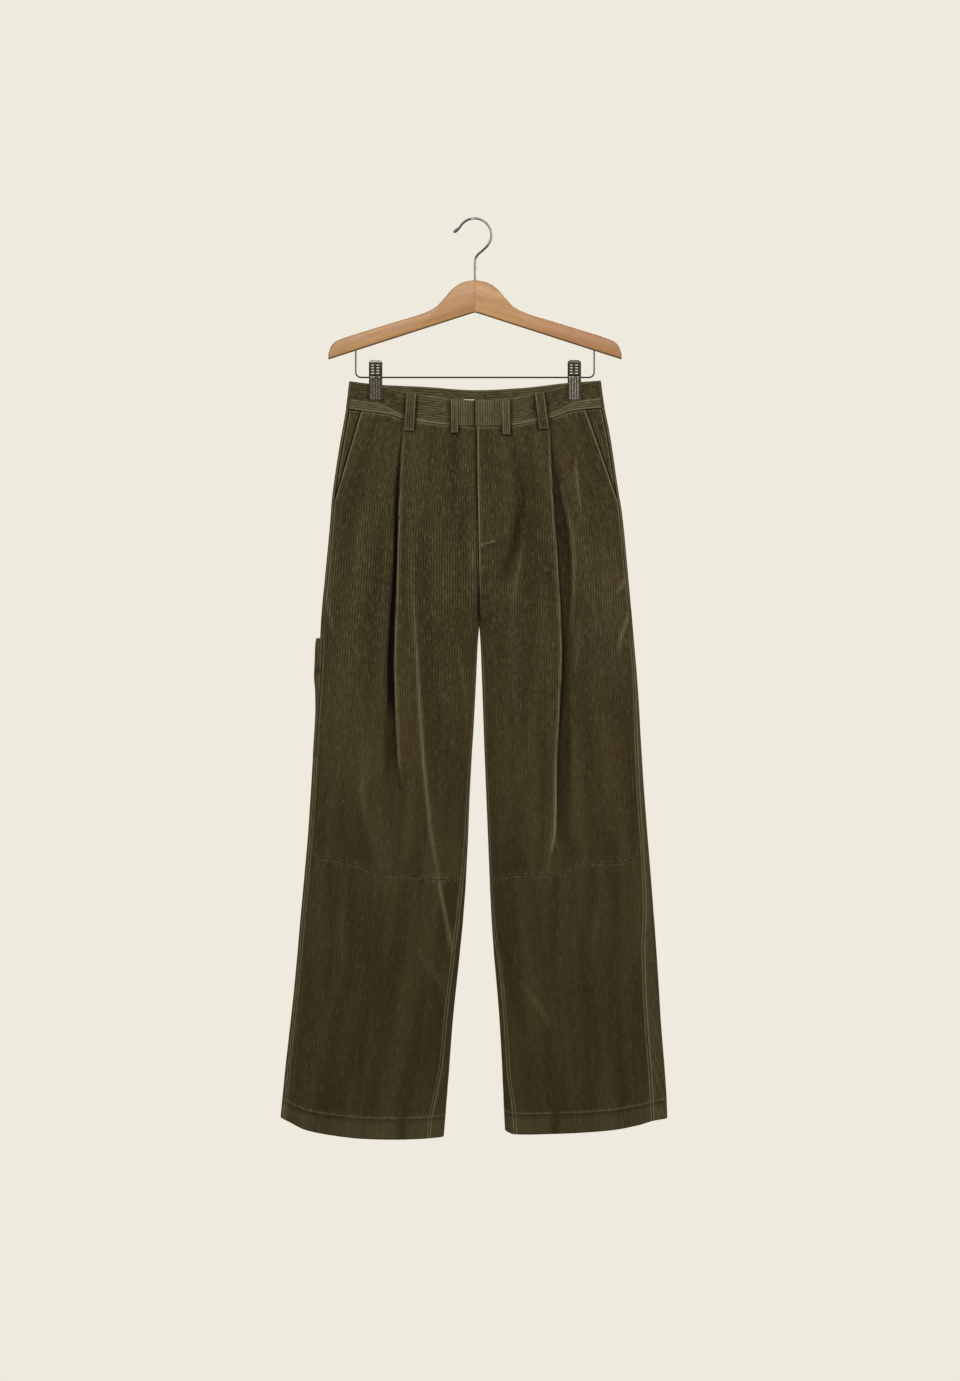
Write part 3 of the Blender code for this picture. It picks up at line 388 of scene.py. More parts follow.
# How far it puffs out: height, distance
TOOL_POCKET_PUFF = (
    (-815, -2), (-765, -2), (-735, -1.2), (-720, 0.2), (-706, 1.7), (-690, 4.3), (-680, 5), (-665, 5),
    (-640, 5.2), (-628, 4),
)

# Ends of the waistband at the fastening: from X to X, how far they stand out and swell in their middle,
# and how near to them a loop clears them
TAB_RIGHT = (-36 * MM, 0)
TAB_LEFT = (0, 48 * MM)
TAB_PROUD = 0.6 * MM
TAB_SWELL = 0.5 * MM
TAB_EASE = 8 * MM
# Where the searches for the side seam and the waistband's height begin
SIDE_SEAM_ABOUT = 190 * MM
BAND_MIDDLE_ABOUT = -262 * MM
# Belt loops (mm): name, face, X at top, X at bottom, width, length, arch clear of the waistband
LOOPS = (
    ("belt_loop_front_right", "front", -94.8, -98.7, 15, 57, 7.4),
    ("belt_loop_front_left", "front", 96.3, 103.5, 15, 57, 7),
    ("belt_loop_fly_right", "front", -30.8, -30.3, 11, 50, 3.2),
    ("belt_loop_fly_left", "front", 46, 47, 12, 54, 3.2),
    ("belt_loop_back_right", "back", -108, -110, 15, 57, 5),
    ("belt_loop_back_left", "back", 108, 110, 15, 57, 5),
    ("belt_loop_back_centre", "back", 3, 3, 15, 57, 5),
)
LOOP_EASE = 0.15 * MM
LOOP_BELOW_TOP = 0.5 * MM
LOOP_LIGHTER = 0.12
# Painted highlight on the loops by the fly and along the sides, and painted shade at the sides' edges:
# share, how far inside, width
LOOP_LIT = (0.2, 0.6, 1.4 * MM, 1.0 * MM)
LOOP_DARK = (0.5, 0.9 * MM)
# Shade beside the loops: share, how far away, half width
LOOP_SHADE = (0.68, 1.6 * MM, 2.2 * MM)
# A loop clears the cloth at these heights beside each of its points
LOOP_FEEL = (-3 * MM, 0, 4 * MM, 8 * MM, 12 * MM)
LOOP_ROLL = (1.2 * MM, 0.7 * MM)
# How far a loop arches out along its length, per mille of both
LOOP_SHAPE = (
    (0, 0), (50, 0), (140, 650), (260, 1000), (450, 1000), (600, 880), (760, 450), (920, 60), (1000, 0),
)

# Plain label inside the waistband's right end
LABEL_X = (-17 * MM, -1 * MM)
LABEL_Z = (-271.4 * MM, -296 * MM)
LABEL_WALL = 0.5 * MM
LABEL_ROLL = (0.2 * MM, 0.1 * MM)

# Waistband: how far it stands above the panels' seam
BAND_SEAM = 0.45 * MM
# The crease along its lower part: X, then per mille of the band's height, or how far the part below it
# stands out (mm)
BAND_CREASE_AT = (
    (-190, 660), (-150, 670), (-110, 860), (-60, 930), (60, 930), (120, 840), (155, 680), (190, 660),
)
BAND_CREASE_OUT = (
    (-190, 1.0), (-150, 1.1), (-110, 0.7), (-60, 0.2), (60, 0.2), (120, 0.7), (155, 1.1), (190, 1.0),
)
BAND_CREASE_REACH = 0.11
# How much lighter the front of the band is painted: X, per mille; then painted highlight below its crease
# beyond an X, on it and on top
BAND_LIGHTER_AT = ((-190, 30), (-130, 50), (-70, 280), (50, 300), (120, 100), (190, 90))
BAND_LIT = {"below": 0.4, "crease": 0.4, "edge": 0.6}
BAND_LIT_BEYOND = 70 * MM
# How light the band is at the back, and the tabs
BAND_BACK_LIGHTER = 0.25
TAB_LIGHTER = 0.42
# Painted shade in the gap where the tabs meet: how dark, where, half width
TAB_GAP = (0.9, -0.9 * MM, 1.2 * MM)
# Shade beside the clips: share, how far away, half width, lowest height, fading over
CLIP_SHADE = (0.5, 1 * MM, 2.2 * MM, -274 * MM, 6 * MM)

# Hanger
WOOD_THICK = 12 * MM
WOOD_ROUND = 2.6 * MM
WOOD_JOINT = (0.02 * MM, 0.4 * MM)
# Lower edge of an arm, from the joint to its tip, and its top edge: X, height
WOOD_APEX = -139 * MM
WOOD_TIP = (219.8 * MM, -209.7 * MM)
WOOD_TOP = (
    (0, -91), (17, -94.3), (33, -103.8), (46, -118.5), (59, -131.8), (76, -140.5), (120, -154.2),
    (160, -166.6), (200, -179.4), (209, -183.5), (216, -191), (219.3, -201),
)
HOOK_WIRE = 1.7 * MM
HOOK_RADIUS = 25 * MM
HOOK_SHIFT = -0.5 * MM
HOOK_ARC = (-45, 152)
# Straight neck and flared tip: X, height, and how much thicker the wire is along the tip
HOOK_NECK = ((0, -92), (0, -76), (0, -62), (1.6, -56), (5.5, -51.3), (11.5, -46.6))
HOOK_FLARE = ((-25.6, -14.6), (-28, -16.4), (-29, -17.2), (-30.8, -18.6), (-31.9, -19.4))
HOOK_SWELL = (1.1, 1.4, 1.5, 1.4, 0.8)
# Painted shade and dark reflections along the hook's plating: per mille of its length, per mille
HOOK_DARK = (
    (0, 250), (200, 250), (225, 950), (380, 950), (430, 450), (680, 350), (745, 700), (762, 0), (775, 0),
    (790, 950), (930, 950), (1000, 700),
)
BAR_WIRE = 1.2 * MM
BAR_AT = 178.8 * MM
BAR_HEIGHT = -236.9 * MM
BAR_CORNER = 8 * MM
# Painted shade on the level part of the plating
BAR_DARK = 0.95
CLIP_WIDTH = 20 * MM
CLIP_WALL = 1.2 * MM
CLIP_EDGE = 1.7 * MM
# Middle of a clip's plate (mm): height, distance from the hanger's plane, share of the width
CLIP_PROFILE = (
    (-211.0, 2.6, 0.68), (-214.4, 4.8, 1), (-224.5, 4.4, 1), (-233.5, 4.0, 1), (-237, 4.0, 1),
    (-242.5, 4.0, 1), (-255, 3.9, 1), (-265, 3.9, 1), (-268.2, 3.9, 1), (-270.2, 3.7, 0.86),
)
# Windows of a clip (mm): middle across, middle height, width, height
CLIP_WINDOWS = tuple((x, -218.3 - 4.1 * k, 4.2, 2.0) for x in (-4.6, 3.3) for k in range(4))
CLIP_RIBS = (-6.6, -2.5, 1.4, 5.3)
CLIP_RIB_SPAN = (-236.0 * MM, -269.5 * MM)
CLIP_FOOT = -268.3 * MM
# Painted highlight on each clip's top edge and ribs, different on each clip as the light falls on it
CLIP_TOP_LIT = {"right": 0.9, "left": 0.1}
CLIP_RIBS_LIT = {"right": 0.12, "left": 0.42}
# Light glints at the ribs' upper ends: across, height
CLIP_GLINTS = ((-6.6, -236.6), (-2.5, -236.6), (5.3, -236.6))

# Topstitching: rows inside the outseam, the pocket's edge and below the knee seam
STITCH = 2.5 * MM
STITCH_PITCH = 3.2 * MM
THREAD = 0.26 * MM
OUTSEAM_ROWS = (2.4 * MM, 8.0 * MM)
POCKET_ROWS = (2.2 * MM, 8.5 * MM)
KNEE_ROW = -2.2 * MM
# Shares of the waistband's height, and how far each way they run
BAND_ROWS = (0.05, 0.94)
BAND_SEWN = 186
# The rows on the lap's edge and below it (mm): top, bottom, points, and how far from the fly
FLY_EDGE = ((-318, -486, 40), (-496, -594, 30))
FLY_EDGE_OUT = -3 * MM
# Bars of thread at the fly's end (mm): middle, run, lean and height of a stitch, stitches
FLY_TACKS = (((18, -486), (22, 3), (0.3, 1.8), 34), ((22, -497.5), (8, 0), (0, 1.8), 14))
# Heights where each pocket's edge is barred, and how far inside the edge
POCKET_TACKS = (-297 * MM, POCKET_BOTTOM + 2 * MM)
POCKET_TACK_IN = 5 * MM
LOOP_TACKS = (0.035, 0.965)
TACK_HEIGHT = 1.8 * MM
TACK_STITCH = (1.9 * MM, 0.24 * MM)
TOOL_POCKET_SEWN = (-238, -128)
# The curved row beside the fly, in columns and rows of the picture
FLY_STITCH = (
    (504.7, 429), (504.7, 470), (504.7, 515), (504, 528), (501, 536), (496, 540.5), (488, 543.5),
    (479.5, 545.5),
)
PICTURE_MIDDLE = (475, 219.5)
# A grain of thread: where along it, how wide and how high each of its rings is, and a ring
GRAIN = ((-0.3, 0.85, 0.2), (0, 1, 0.7), (0.3, 0.85, 0.2))
GRAIN_RING = ((1, 0), (0, 1), (-1, 0), (0, -0.6))

# Corduroy: one wale, and the height of its pile at four places across it
WALE = 3.7 * MM
WALE_HEIGHT = 0.5 * MM
WALE_SHAPE = (0.0, 0.74, 1.0, 0.74)
# The pile's height varies within these shares, over this many rows
PILE_WEAR = (0.72, 1.12)
PILE_ROWS = 5
ROW_PITCH = 7 * MM
SEAM_ROLL = (2.6 * MM, 1.35 * MM)
# Points worked out along a row on both sides of the pleat and on the back, and how far corners are rounded
FRONT_STEPS = (240, 300)
BACK_STEPS = 420
CORNER_ROUND = 3
# Rows lie this close to the edges and to some lines, and at least this far from other rows
NEAR_EDGES = (0, 0.5 * MM, 1.2 * MM, 2.2 * MM, 3.6 * MM)
NEAR_LINES = (-2.2 * MM, -1 * MM, 0, 1 * MM, 2.2 * MM)
ROWS_APART = 2 * MM
SEAM_TUCK = 0.5 * MM
FAINT_SEAM = 0.08
# What the marks are multiplied by before the material reads them: wear with painted highlight, and painted
# shade
MARK_UNIT = {"wear_and_highlight": 0.72, "painted_shade": 1.0}

# Camera: level, one picture row is 1.5 mm at the hanger's plane, and the long side is the height
PIXEL = 1.5 * MM
PICTURE_HEIGHT = 1381
LENS = 85.0
SENSOR = 36.0
CAMERA_X = 7.5 * MM
CAMERA_Z = -706.5 * MM

# Softboxes: name, place, where they aim, width, power
LIGHTS = (
    ("key", (-0.5, -3.3, 1.3), (0, 0, -0.7), 2.2, 88),
    ("fill", (1.9, -2.6, 0.6), (0, 0, -0.5), 2.0, 23),
    ("behind", (0.9, 2.4, 0.6), (0, 0, -0.6), 1.8, 52),
)
BACKDROP = (0.863, 0.823, 0.730)
# The room's light from below to above: place on the ramp, colour
ROOM = ((0.15, (0.16, 0.15, 0.13, 1)), (0.95, (0.95, 0.93, 0.88, 1)))
ROOM_POWER = 0.42
FLOOR_RADIUS = 0.62
FLOOR_Z = -1.95

SIDES = {"right": -1, "left": 1}
FACES = {"front": -1, "back": 1}


# Curves and steps


def smooth(table, at):
    """A smooth curve through a table's first and second columns, without overshoot. Both in mm."""
    rows = np.array(sorted(row[:2] for row in table), float) * MM
    x, y = rows[:, 0], rows[:, 1]
    step = np.diff(x)
    slope = np.diff(y) / step
    total = slope[1:] + slope[:-1]
    same_way = slope[1:] * slope[:-1] > 0
    inner = np.where(same_way, 2 * slope[1:] * slope[:-1] / np.where(same_way, total, 1), 0)
    tangent = np.concatenate([slope[:1], inner, slope[-1:]])
    at = np.clip(at, x[0], x[-1])
    i = np.clip(np.searchsorted(x, at) - 1, 0, len(step) - 1)
    t = (at - x[i]) / step[i]
    ends = y[i] * (1 + 2 * t) * (1 - t) ** 2 + y[i + 1] * t**2 * (3 - 2 * t)
    return ends + step[i] * t * (1 - t) * (tangent[i] * (1 - t) - tangent[i + 1] * t)


def ease(t):
    """From 0 to 1 as t goes from 0 to 1, level at both ends."""
    t = np.clip(t, 0, 1)
    return t * t * (3 - 2 * t)


def falling(z, start, reach):
    """From 0 at start to 1 at reach below it."""
    return ease((start - z) / reach)


def bell(x, width, power=2):
    """1 at x = 0, and nearly 0 beyond twice the width."""
    return np.exp(-((x / width) ** power))


def fade(x, reach):
    """1 at x = 0, and less and less on both sides."""
    return np.exp(-np.abs(x) / reach)


# The hanging tube


def centre_u(side, z):
    return SIDES[side] * smooth(CENTRE_LINE, z)


def inner_u(side, z):
    return np.where(z > CROTCH - FORK_SEAM_BELOW, centre_u(side, z), smooth(INNER_EDGE[side], z))


def outer_u(side, z):
    return smooth(OUTER_EDGE[side], z)


def outseam_u(side, z):
    return outer_u(side, z) - smooth(OUTSEAM_INSET[side], z)


def plain_depth(face, s, z):
    """Half thickness of the hanging tube where nothing pinches it. s is -1 inside and 1 outside."""
    column = {"front": 1, "back": 2}[face]
    deep = smooth([(row[0], row[column]) for row in DEPTHS], z)
    peak = -1 + ease((FORK_FADE[0] - z) / FORK_FADE[1])
    outward = np.clip((s - peak) / (1 - peak), 0, 1)
    inward = np.clip((peak - s) / np.maximum(1 + peak, 1e-6), 0, 1)
    drop = np.clip((CROTCH + FORK_ROUND - z) / FORK_ROUND, 0, 1)
    open_share = np.maximum(np.sqrt(1 - drop**2), LEAST_OPENING / deep)
    open_share = np.where(z > CROTCH - FORK_SEAM_BELOW, open_share, 0)
    outside = (1 - outward**SECTION_FULLNESS) ** (1 / SECTION_FULLNESS)
    inside = np.sqrt(np.maximum(1 - (1 - open_share**2) * inward**2, 0))
    return deep * np.where(s > peak, outside, inside)


def pinched_depth(face, u, edge):
    """Half thickness at the waist: flat under the clips, sagging between them."""
    away = np.abs(u)
    inside = CLIP_AT - PINCH_REACH
    sag = SAG[face] * np.clip(1 - (away / inside) ** 2, 0, 1) ** SAG_SHARPNESS
    beyond = END_OPENING * ease((away - CLIP_AT - PINCH_REACH) / END_REACH)
    round_end = PINCH + END_OPENING
    to_end = np.clip(1 - (edge - away) / round_end, 0, 1)
    return (PINCH + sag + beyond) * np.sqrt(np.maximum(1 - to_end**2, 0))


def fold_heights(table, side, face, u, z, power):
    """The folds of one half and face, as a distance outward."""
    total = np.zeros(np.broadcast(u, z).shape)
    for width, height, *points in table[side, face]:
        path = smooth([(down, out) for out, down in points], z)
        start, end = points[0][1] * MM, points[-1][1] * MM
        along = np.clip((start - z) / (start - end), 0, 1)
        high = height * MM * np.sin(math.pi * along) ** FOLD_ENDS
        total += high * bell(np.abs(u - path), width * MM, power)
    return total


def fold_marks(side, face, u, z):
    """Wear with painted highlight on the narrow ridges, painted shade in the narrow troughs, and the
    painted patches.
    """
    raised = fold_heights(FOLDS, side, face, u, z, FOLD_POWER)
    painted_patches = fold_heights(PAINTED_PATCHES, side, face, u, z, PAINTED_PATCH_POWER)
    lit, full, power = RIDGE_LIT
    wear_and_highlight = lit * np.clip(raised / full, 0, 1) ** power
    painted_shade = TROUGH_DARK[0] * np.clip(-raised / TROUGH_DARK[1], 0, 1)
    return np.maximum(wear_and_highlight, painted_patches), painted_shade + np.maximum(-painted_patches, 0)


def wobble(at):
    """An uneven wave for puckered seams."""
    turn = 2 * math.pi * at
    slow = np.sin(turn / (41 * MM)) + np.sin(turn / (97 * MM))
    return 0.6 * np.sin(turn / (15 * MM) + 1.3 * slow) + 0.4 * np.sin(turn / (8.7 * MM) - slow)


def pucker(side, face, u, z):
    """The cloth gathers slightly beside the rows of stitches."""
    by_band = smooth(BAND_LOW[face], SIDES[side] * u) - PUCKER_INSET - z
    total = PUCKERS["band"] * wobble(u) * fade(by_band, PUCKER_REACH)
    total = total + PUCKERS["hem"] * wobble(u) * fade(z - HEM - HEM_TURN, PUCKER_HEM_REACH)
    if face == "front":
        by_knee, by_seam = z - smooth(KNEE_LINE[side], u), u - outseam_u(side, z) + PUCKER_INSET
        total = total + PUCKERS["knee"] * wobble(u + z) * fade(by_knee, PUCKER_REACH)
        total = total + PUCKERS["outseam"] * wobble(z) * fade(by_seam, PUCKER_REACH)
    return MM * total


def waver(side, face, u, z):
    """Slow unevenness, another pattern on each half and face."""
    phase = 1.3 * (SIDES[side] + 2) + 2.9 * (FACES[face] + 2)
    total = 0
    for number, (across, down, height) in enumerate(WAVER):
        turn = 2 * math.pi * (across * u + down * z) + phase * (number + 1)
        total = total + height * MM * np.sin(turn)
    return total


def depth(side, face, u, z):
    """Distance of one face's middle surface from the hanger's plane."""
    inner, outer = inner_u(side, z), outer_u(side, z)
    s = np.clip((2 * u - inner - outer) / (outer - inner), -1, 1)
    hanging = plain_depth(face, s, z)
    pinched = pinched_depth(face, u, outer)
    share = falling(z, *PINCH_FADE)
    from_edges = np.where(z > CROTCH, outer - u, np.minimum(u - inner, outer - u))
    broad = fold_heights(CREASES, side, face, u, z, CREASE_POWER)
    broad = broad * ease(from_edges / CREASE_CLEAR_OF_EDGE)
    narrow = fold_heights(FOLDS, side, face, u, z, FOLD_POWER)
    narrow = narrow + waver(side, face, u, z) + pucker(side, face, u, z)
    narrow = narrow * ease(from_edges / FOLD_CLEAR_OF_EDGE)
    return pinched + (hanging - pinched + broad + narrow) * share


def row_heights(side, face, nominal, u):
    """The height of a row at u: rows follow the waistband, the knee seam and the hem."""
    top = smooth(BAND_LOW[face], SIDES[side] * u) - BAND_BOTTOM
    top = top * (1 - falling(nominal, BAND_BOTTOM, BAND_FOLLOWS))
    knee = (smooth(KNEE_LINE[side], u) - KNEE) * (1 - ease(abs(nominal - KNEE) / KNEE_FOLLOWS))
    hem = (smooth(HEM_LINE[side], u) - HEM) * falling(nominal, HEM + HEM_FOLLOWS, HEM_FOLLOWS)
    return nominal + top + knee + hem


def settle(side, face, nominal, place):
    """u of a place that depends on the height of its row, which depends on u."""
    u = place(nominal)
    for _ in range(3):
        u = place(row_heights(side, face, nominal, u))
    return u


# Grids of cloth


def row_list(top, bottom, lines=()):
    """Heights from top to bottom, closer together at both ends and beside the given lines."""
    close = [top - near for near in NEAR_EDGES] + [bottom + near for near in NEAR_EDGES]
    for line in lines:
        close += [line + near for near in NEAR_LINES]
    count = max(2, round((top - bottom) / ROW_PITCH))
    even = np.linspace(top, bottom, count + 1)
    even = [z for z in even if min(abs(z - c) for c in close) > ROWS_APART]
    return sorted(close + even, reverse=True)


def along_path(path):
    steps = np.linalg.norm(np.diff(path[:, :2], axis=0), axis=1)
    return np.concatenate([[0], np.cumsum(steps)])


def evenly(path, count):
    """Points evenly spaced along a row."""
    length = along_path(path)
    at = np.linspace(0, length[-1], count)
    return np.stack([np.interp(at, length, column) for column in path.T], axis=1)


def spaced(points, pitch):
    """Points at an even pitch along a line, both ends kept."""
    points = np.array(points, float)
    return evenly(points, max(2, round(along_path(points)[-1] / pitch)))


def rounded(path, reach):
    """A row whose corners are rounded by a running mean."""
    path = evenly(path, max(int(along_path(path)[-1] / (0.3 * MM)), 8))
    padded = np.pad(path, ((reach, reach), (0, 0)), mode="reflect", reflect_type="odd")
    kernel = np.ones(2 * reach + 1) / (2 * reach + 1)
    return np.stack([np.convolve(column, kernel, mode="valid") for column in padded.T], axis=1)


def edge_distances(grid):
    """Distances of a grid's points from its first and last columns and its first and last rows."""
    grid = grid[..., :3]
    across = np.cumsum(np.linalg.norm(np.diff(grid, axis=1, prepend=grid[:, :1]), axis=2), axis=1)
    down = np.cumsum(np.linalg.norm(np.diff(grid, axis=0, prepend=grid[:1]), axis=2), axis=0)
    return across, across[:, -1:] - across, down, down[-1:] - down


def layers(*values):
    """One grid from values that may each stand for a whole row or column."""
    return np.stack(np.broadcast_arrays(*values), axis=-1)


def rolled(distance, roll):
    """How far an edge turns in, at a distance from it."""
    reach, drop = roll
    share = np.clip(1 - distance / reach, 0, 1)
    return drop * (1 - np.sqrt(1 - share**2))


def grid_normals(grid, toward):
    """Unit normals on the side that faces toward (-1 front, 1 back) on the whole."""
    normal = np.cross(np.gradient(grid, axis=1), np.gradient(grid, axis=0))
    normal /= np.maximum(np.linalg.norm(normal, axis=2, keepdims=True), 1e-12)
    sign = 1 if normal[..., 1].mean() * toward > 0 else -1
    return normal * sign, sign


def wale_relief(rows, columns, seed):
    """Height of the pile over a grid with four columns to a wale, its wear uneven along each wale."""
    profile = np.append(np.tile(WALE_SHAPE, (columns - 1) // 4), 0)
    chance = np.random.default_rng(seed)
    wear_and_highlight = chance.uniform(*PILE_WEAR, (rows // PILE_ROWS + 3, columns // 4 + 2))
    at = np.arange(rows) / PILE_ROWS
    low = at.astype(int)
    mixed = wear_and_highlight[low] + (at - low)[:, None] * (wear_and_highlight[low + 1] - wear_and_highlight[low])
    return WALE_HEIGHT * profile * mixed[:, np.arange(columns) // 4]


def rim_faces(rows, columns, step):
    """Faces round the border between an outer grid and an inner one with every step-th column."""
    few = (columns - 1) // step + 1
    start = rows * columns

    def out(r, c):
        return r * columns + c

    def inn(r, c):
        return start + r * few + c // step

    faces = []
    for c in range(0, columns - 1, step):
        top = [out(0, c + k) for k in range(step + 1)]
        low = [out(rows - 1, c + k) for k in range(step + 1)]
        faces.append(top[::-1] + [inn(0, c), inn(0, c + step)])
        faces.append(low + [inn(rows - 1, c + step), inn(rows - 1, c)])
    last = columns - 1
    for r in range(rows - 1):
        faces.append([out(r, 0), out(r + 1, 0), inn(r + 1, 0), inn(r, 0)])
        faces.append([out(r + 1, last), out(r, last), inn(r, last), inn(r + 1, last)])
    return faces


def quads(rows, columns, start=0):
    index = start + np.arange(rows * columns).reshape(rows, columns)
    corners = (index[:-1, :-1], index[:-1, 1:], index[1:, 1:], index[1:, :-1])
    return np.stack([c.ravel() for c in corners], axis=1)


def edge_marks(distances, seams, faint, hold):
    """Painted shade right at the sewn edges, and a painted highlight just beside them."""
    wear_and_highlight, painted_shade = 0, 0
    for distance, edge in zip(distances, "lrtb"):
        share = 1 if edge in seams else FAINT_SEAM if edge in faint else 0
        painted_shade = np.maximum(painted_shade, EDGE_DARK[0] * share * np.clip(1 - distance / EDGE_DARK[1], 0, 1))
        wear_and_highlight = np.maximum(wear_and_highlight, EDGE_LIT[0] * share * bell(distance - EDGE_LIT[1], EDGE_LIT[2]))
    return wear_and_highlight * hold, painted_shade


def shell(
    name, grid, toward, half_out, half_in, roll, seed=0, ribs_inside=False, seams="", faint="", hold=1.0,
    relief=1.0,
):
    """A closed thin wall round a grid of middle points, with wales along its columns on the outside.

    The grid's fourth and fifth values, where it has them, give its wear with painted highlight and its
    painted shade.
    """
    rows, columns = grid.shape[:2]
    middle = grid[..., :3]
    step = 1 if ribs_inside else 4

    def both(outer, inner):
        """Values on the outer points, then on every step-th column of the inner ones."""
        flat = (-1, *outer.shape[2:])
        return np.concatenate([outer.reshape(flat), inner[:, ::step].reshape(flat)])

    normal, sign = grid_normals(middle, toward)
    pile = relief * wale_relief(rows, columns, seed)
    distances = edge_distances(middle)
    turn = 0
    for distance, edge in zip(distances, "lrtb"):
        share = FAINT_SEAM if edge in faint else hold if edge in "lr" else 1
        turn = turn + share * rolled(distance, roll)
    outer = middle + normal * (half_out + pile - turn)[..., None]
    inner = middle - normal * (half_in + pile * ribs_inside)[..., None]
    faces = quads(rows, columns).tolist()
    faces += quads(rows, (columns - 1) // step + 1, rows * columns)[:, ::-1].tolist()
    faces += rim_faces(rows, columns, step)
    if sign < 0:
        faces = [face[::-1] for face in faces]
    made = mesh_object(name, both(outer, inner), faces)
    across = np.broadcast_to(np.arange(columns) * 0.25 * WALE + seed * 40 * WALE, (rows, columns))
    places = np.stack([across, distances[2]], axis=2)
    lay_uv(made, both(places, places))
    for k, (key, mark) in enumerate(zip(MARK_UNIT, edge_marks(distances, seams, faint, hold))):
        mark = MARK_UNIT[key] * (mark + (grid[..., 3 + k] if grid.shape[2] > 3 else 0))
        mark_points(made, key, both(mark, mark))
    return made


def placed(name, data):
    """An object with this data, in the scene."""
    made = bpy.data.objects.new(name, data)
    bpy.context.collection.objects.link(made)
    return made


def mesh_object(name, points, faces):
    mesh = bpy.data.meshes.new(name)
    mesh.from_pydata(np.asarray(points).tolist(), [], faces)
    mesh.shade_smooth()
    return placed(name, mesh)


def mark_points(made, key, values):
    """Give each point a value that the material reads."""
    layer = made.data.attributes.new(key, "FLOAT", "POINT")
    layer.data.foreach_set("value", np.clip(values, 0, 1).astype(np.float32))


def lay_uv(made, places):
    """Lay UVs in metres: across the wales and along them."""
    mesh = made.data
    corner = np.zeros(len(mesh.loops), np.int32)
    mesh.loops.foreach_get("vertex_index", corner)
    layer = mesh.uv_layers.new(name="cloth")
    layer.data.foreach_set("uv", places[corner].astype(np.float32).ravel())


def flat_area(grid):
    """Area of a grid's middle surface."""
    down, across = np.diff(grid[:, :-1], axis=0), np.diff(grid, axis=1)[:-1]
    return float(np.linalg.norm(np.cross(down, across), axis=2).sum())


def declare(made, finish, node=None):
    """Finish a piece, let it ride on the part and hide the solid it stands for."""
    made.data.materials.append(finish)
    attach(made, "root")
    if node:
        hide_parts(node)


def cloth_shell(
    name, grid, toward, node, rests_on, seed, finish, wall=WALL, roll=SEAM_ROLL, inside=None, **facts
):
    """A piece of corduroy round a grid."""
    inside = 0.5 * wall if inside is None else inside
    made = shell(name, grid, toward, 0.5 * wall, inside, roll, seed=seed, **facts)
    declare(made, finish, node)
    grid = grid[..., :3]
    spans = [np.linalg.norm(np.diff(grid, axis=axis), axis=2).sum(axis=axis).max() for axis in (1, 0)]
    width, length = (round(float(span), 4) for span in spans)
    area = round(min(flat_area(grid), width * length), 7)
    return made


# Fronts


def fly_shift(side, u, z):
    """The left front rises over the lap of the fly and the right front sinks under it."""
    near = 1 - ease((u - centre_u(side, z)) / FLY_REACH)
    live = ease((z - FLY_BOTTOM) / FLY_FADE)
    return (FLY_STEP if side == "left" else -FLY_STEP) * near * live


def pleat_open(side, z):
    """0 where the pleat is folded, 1 where it has opened out flat."""
    return falling(z, *PLEAT_OPENS[side])


def pleat_depth(side, z):
    top = PLEAT_OPENS[side][0]
    down = np.clip((BAND_BOTTOM - z) / (BAND_BOTTOM - top), 0, 1)
    return PLEAT_DEPTH + (PLEAT_END_DEPTH - PLEAT_DEPTH) * down


def pleat_lift(side, u, z):
    """How far the top layer stands out beside the fold, on its inner side."""
    to_edge = smooth(PLEAT_EDGE[side], z) - u
    near = 1 - ease((np.maximum(to_edge, 0) - pleat_depth(side, z)) / PLEAT_LIFT_REACH)
    return PLEAT_LAYER * near * (1 - pleat_open(side, z)) * (to_edge > -1e-9)


def pleat_corners(side, z):
    """u and w of the four corners of the fold, from the top layer to the bottom one."""
    edge, deep = smooth(PLEAT_EDGE[side], z), pleat_depth(side, z)
    opened = pleat_open(side, z)
    corners = []
    for fold_u, fold_w, flat_u in PLEAT_CORNERS:
        folded, flat = edge + fold_u * deep, edge + flat_u * PLEAT_SHAPE_OPEN
        u = folded + (flat - folded) * opened
        w = depth(side, "front", u, z) + fold_w * PLEAT_LAYER * (1 - opened)
        corners.append((u, w))
    return corners


def outside_pleat(side, u, z):
    """w of the layer that comes out from under the fold: a valley, a small ridge, then the plain front."""
    past = u - smooth(PLEAT_EDGE[side], z)
    wide = smooth(PLEAT_VALLEY[side], z)
    shut = 1 - pleat_open(side, z)
    under = -PLEAT_LAYER * (1 - ease((past - wide) / PLEAT_UNDER_REACH))
    middle, reach, power = PLEAT_DIVE_SHAPE[side]
    valley = -smooth(PLEAT_DIVE[side], z) * bell(np.abs(past - middle * wide), reach * wide, power)
    beyond, half_width, height = PLEAT_RIDGE
    ridge = height * bell(past - wide - beyond, half_width)
    return depth(side, "front", u, z) + shut * (under + valley + ridge)


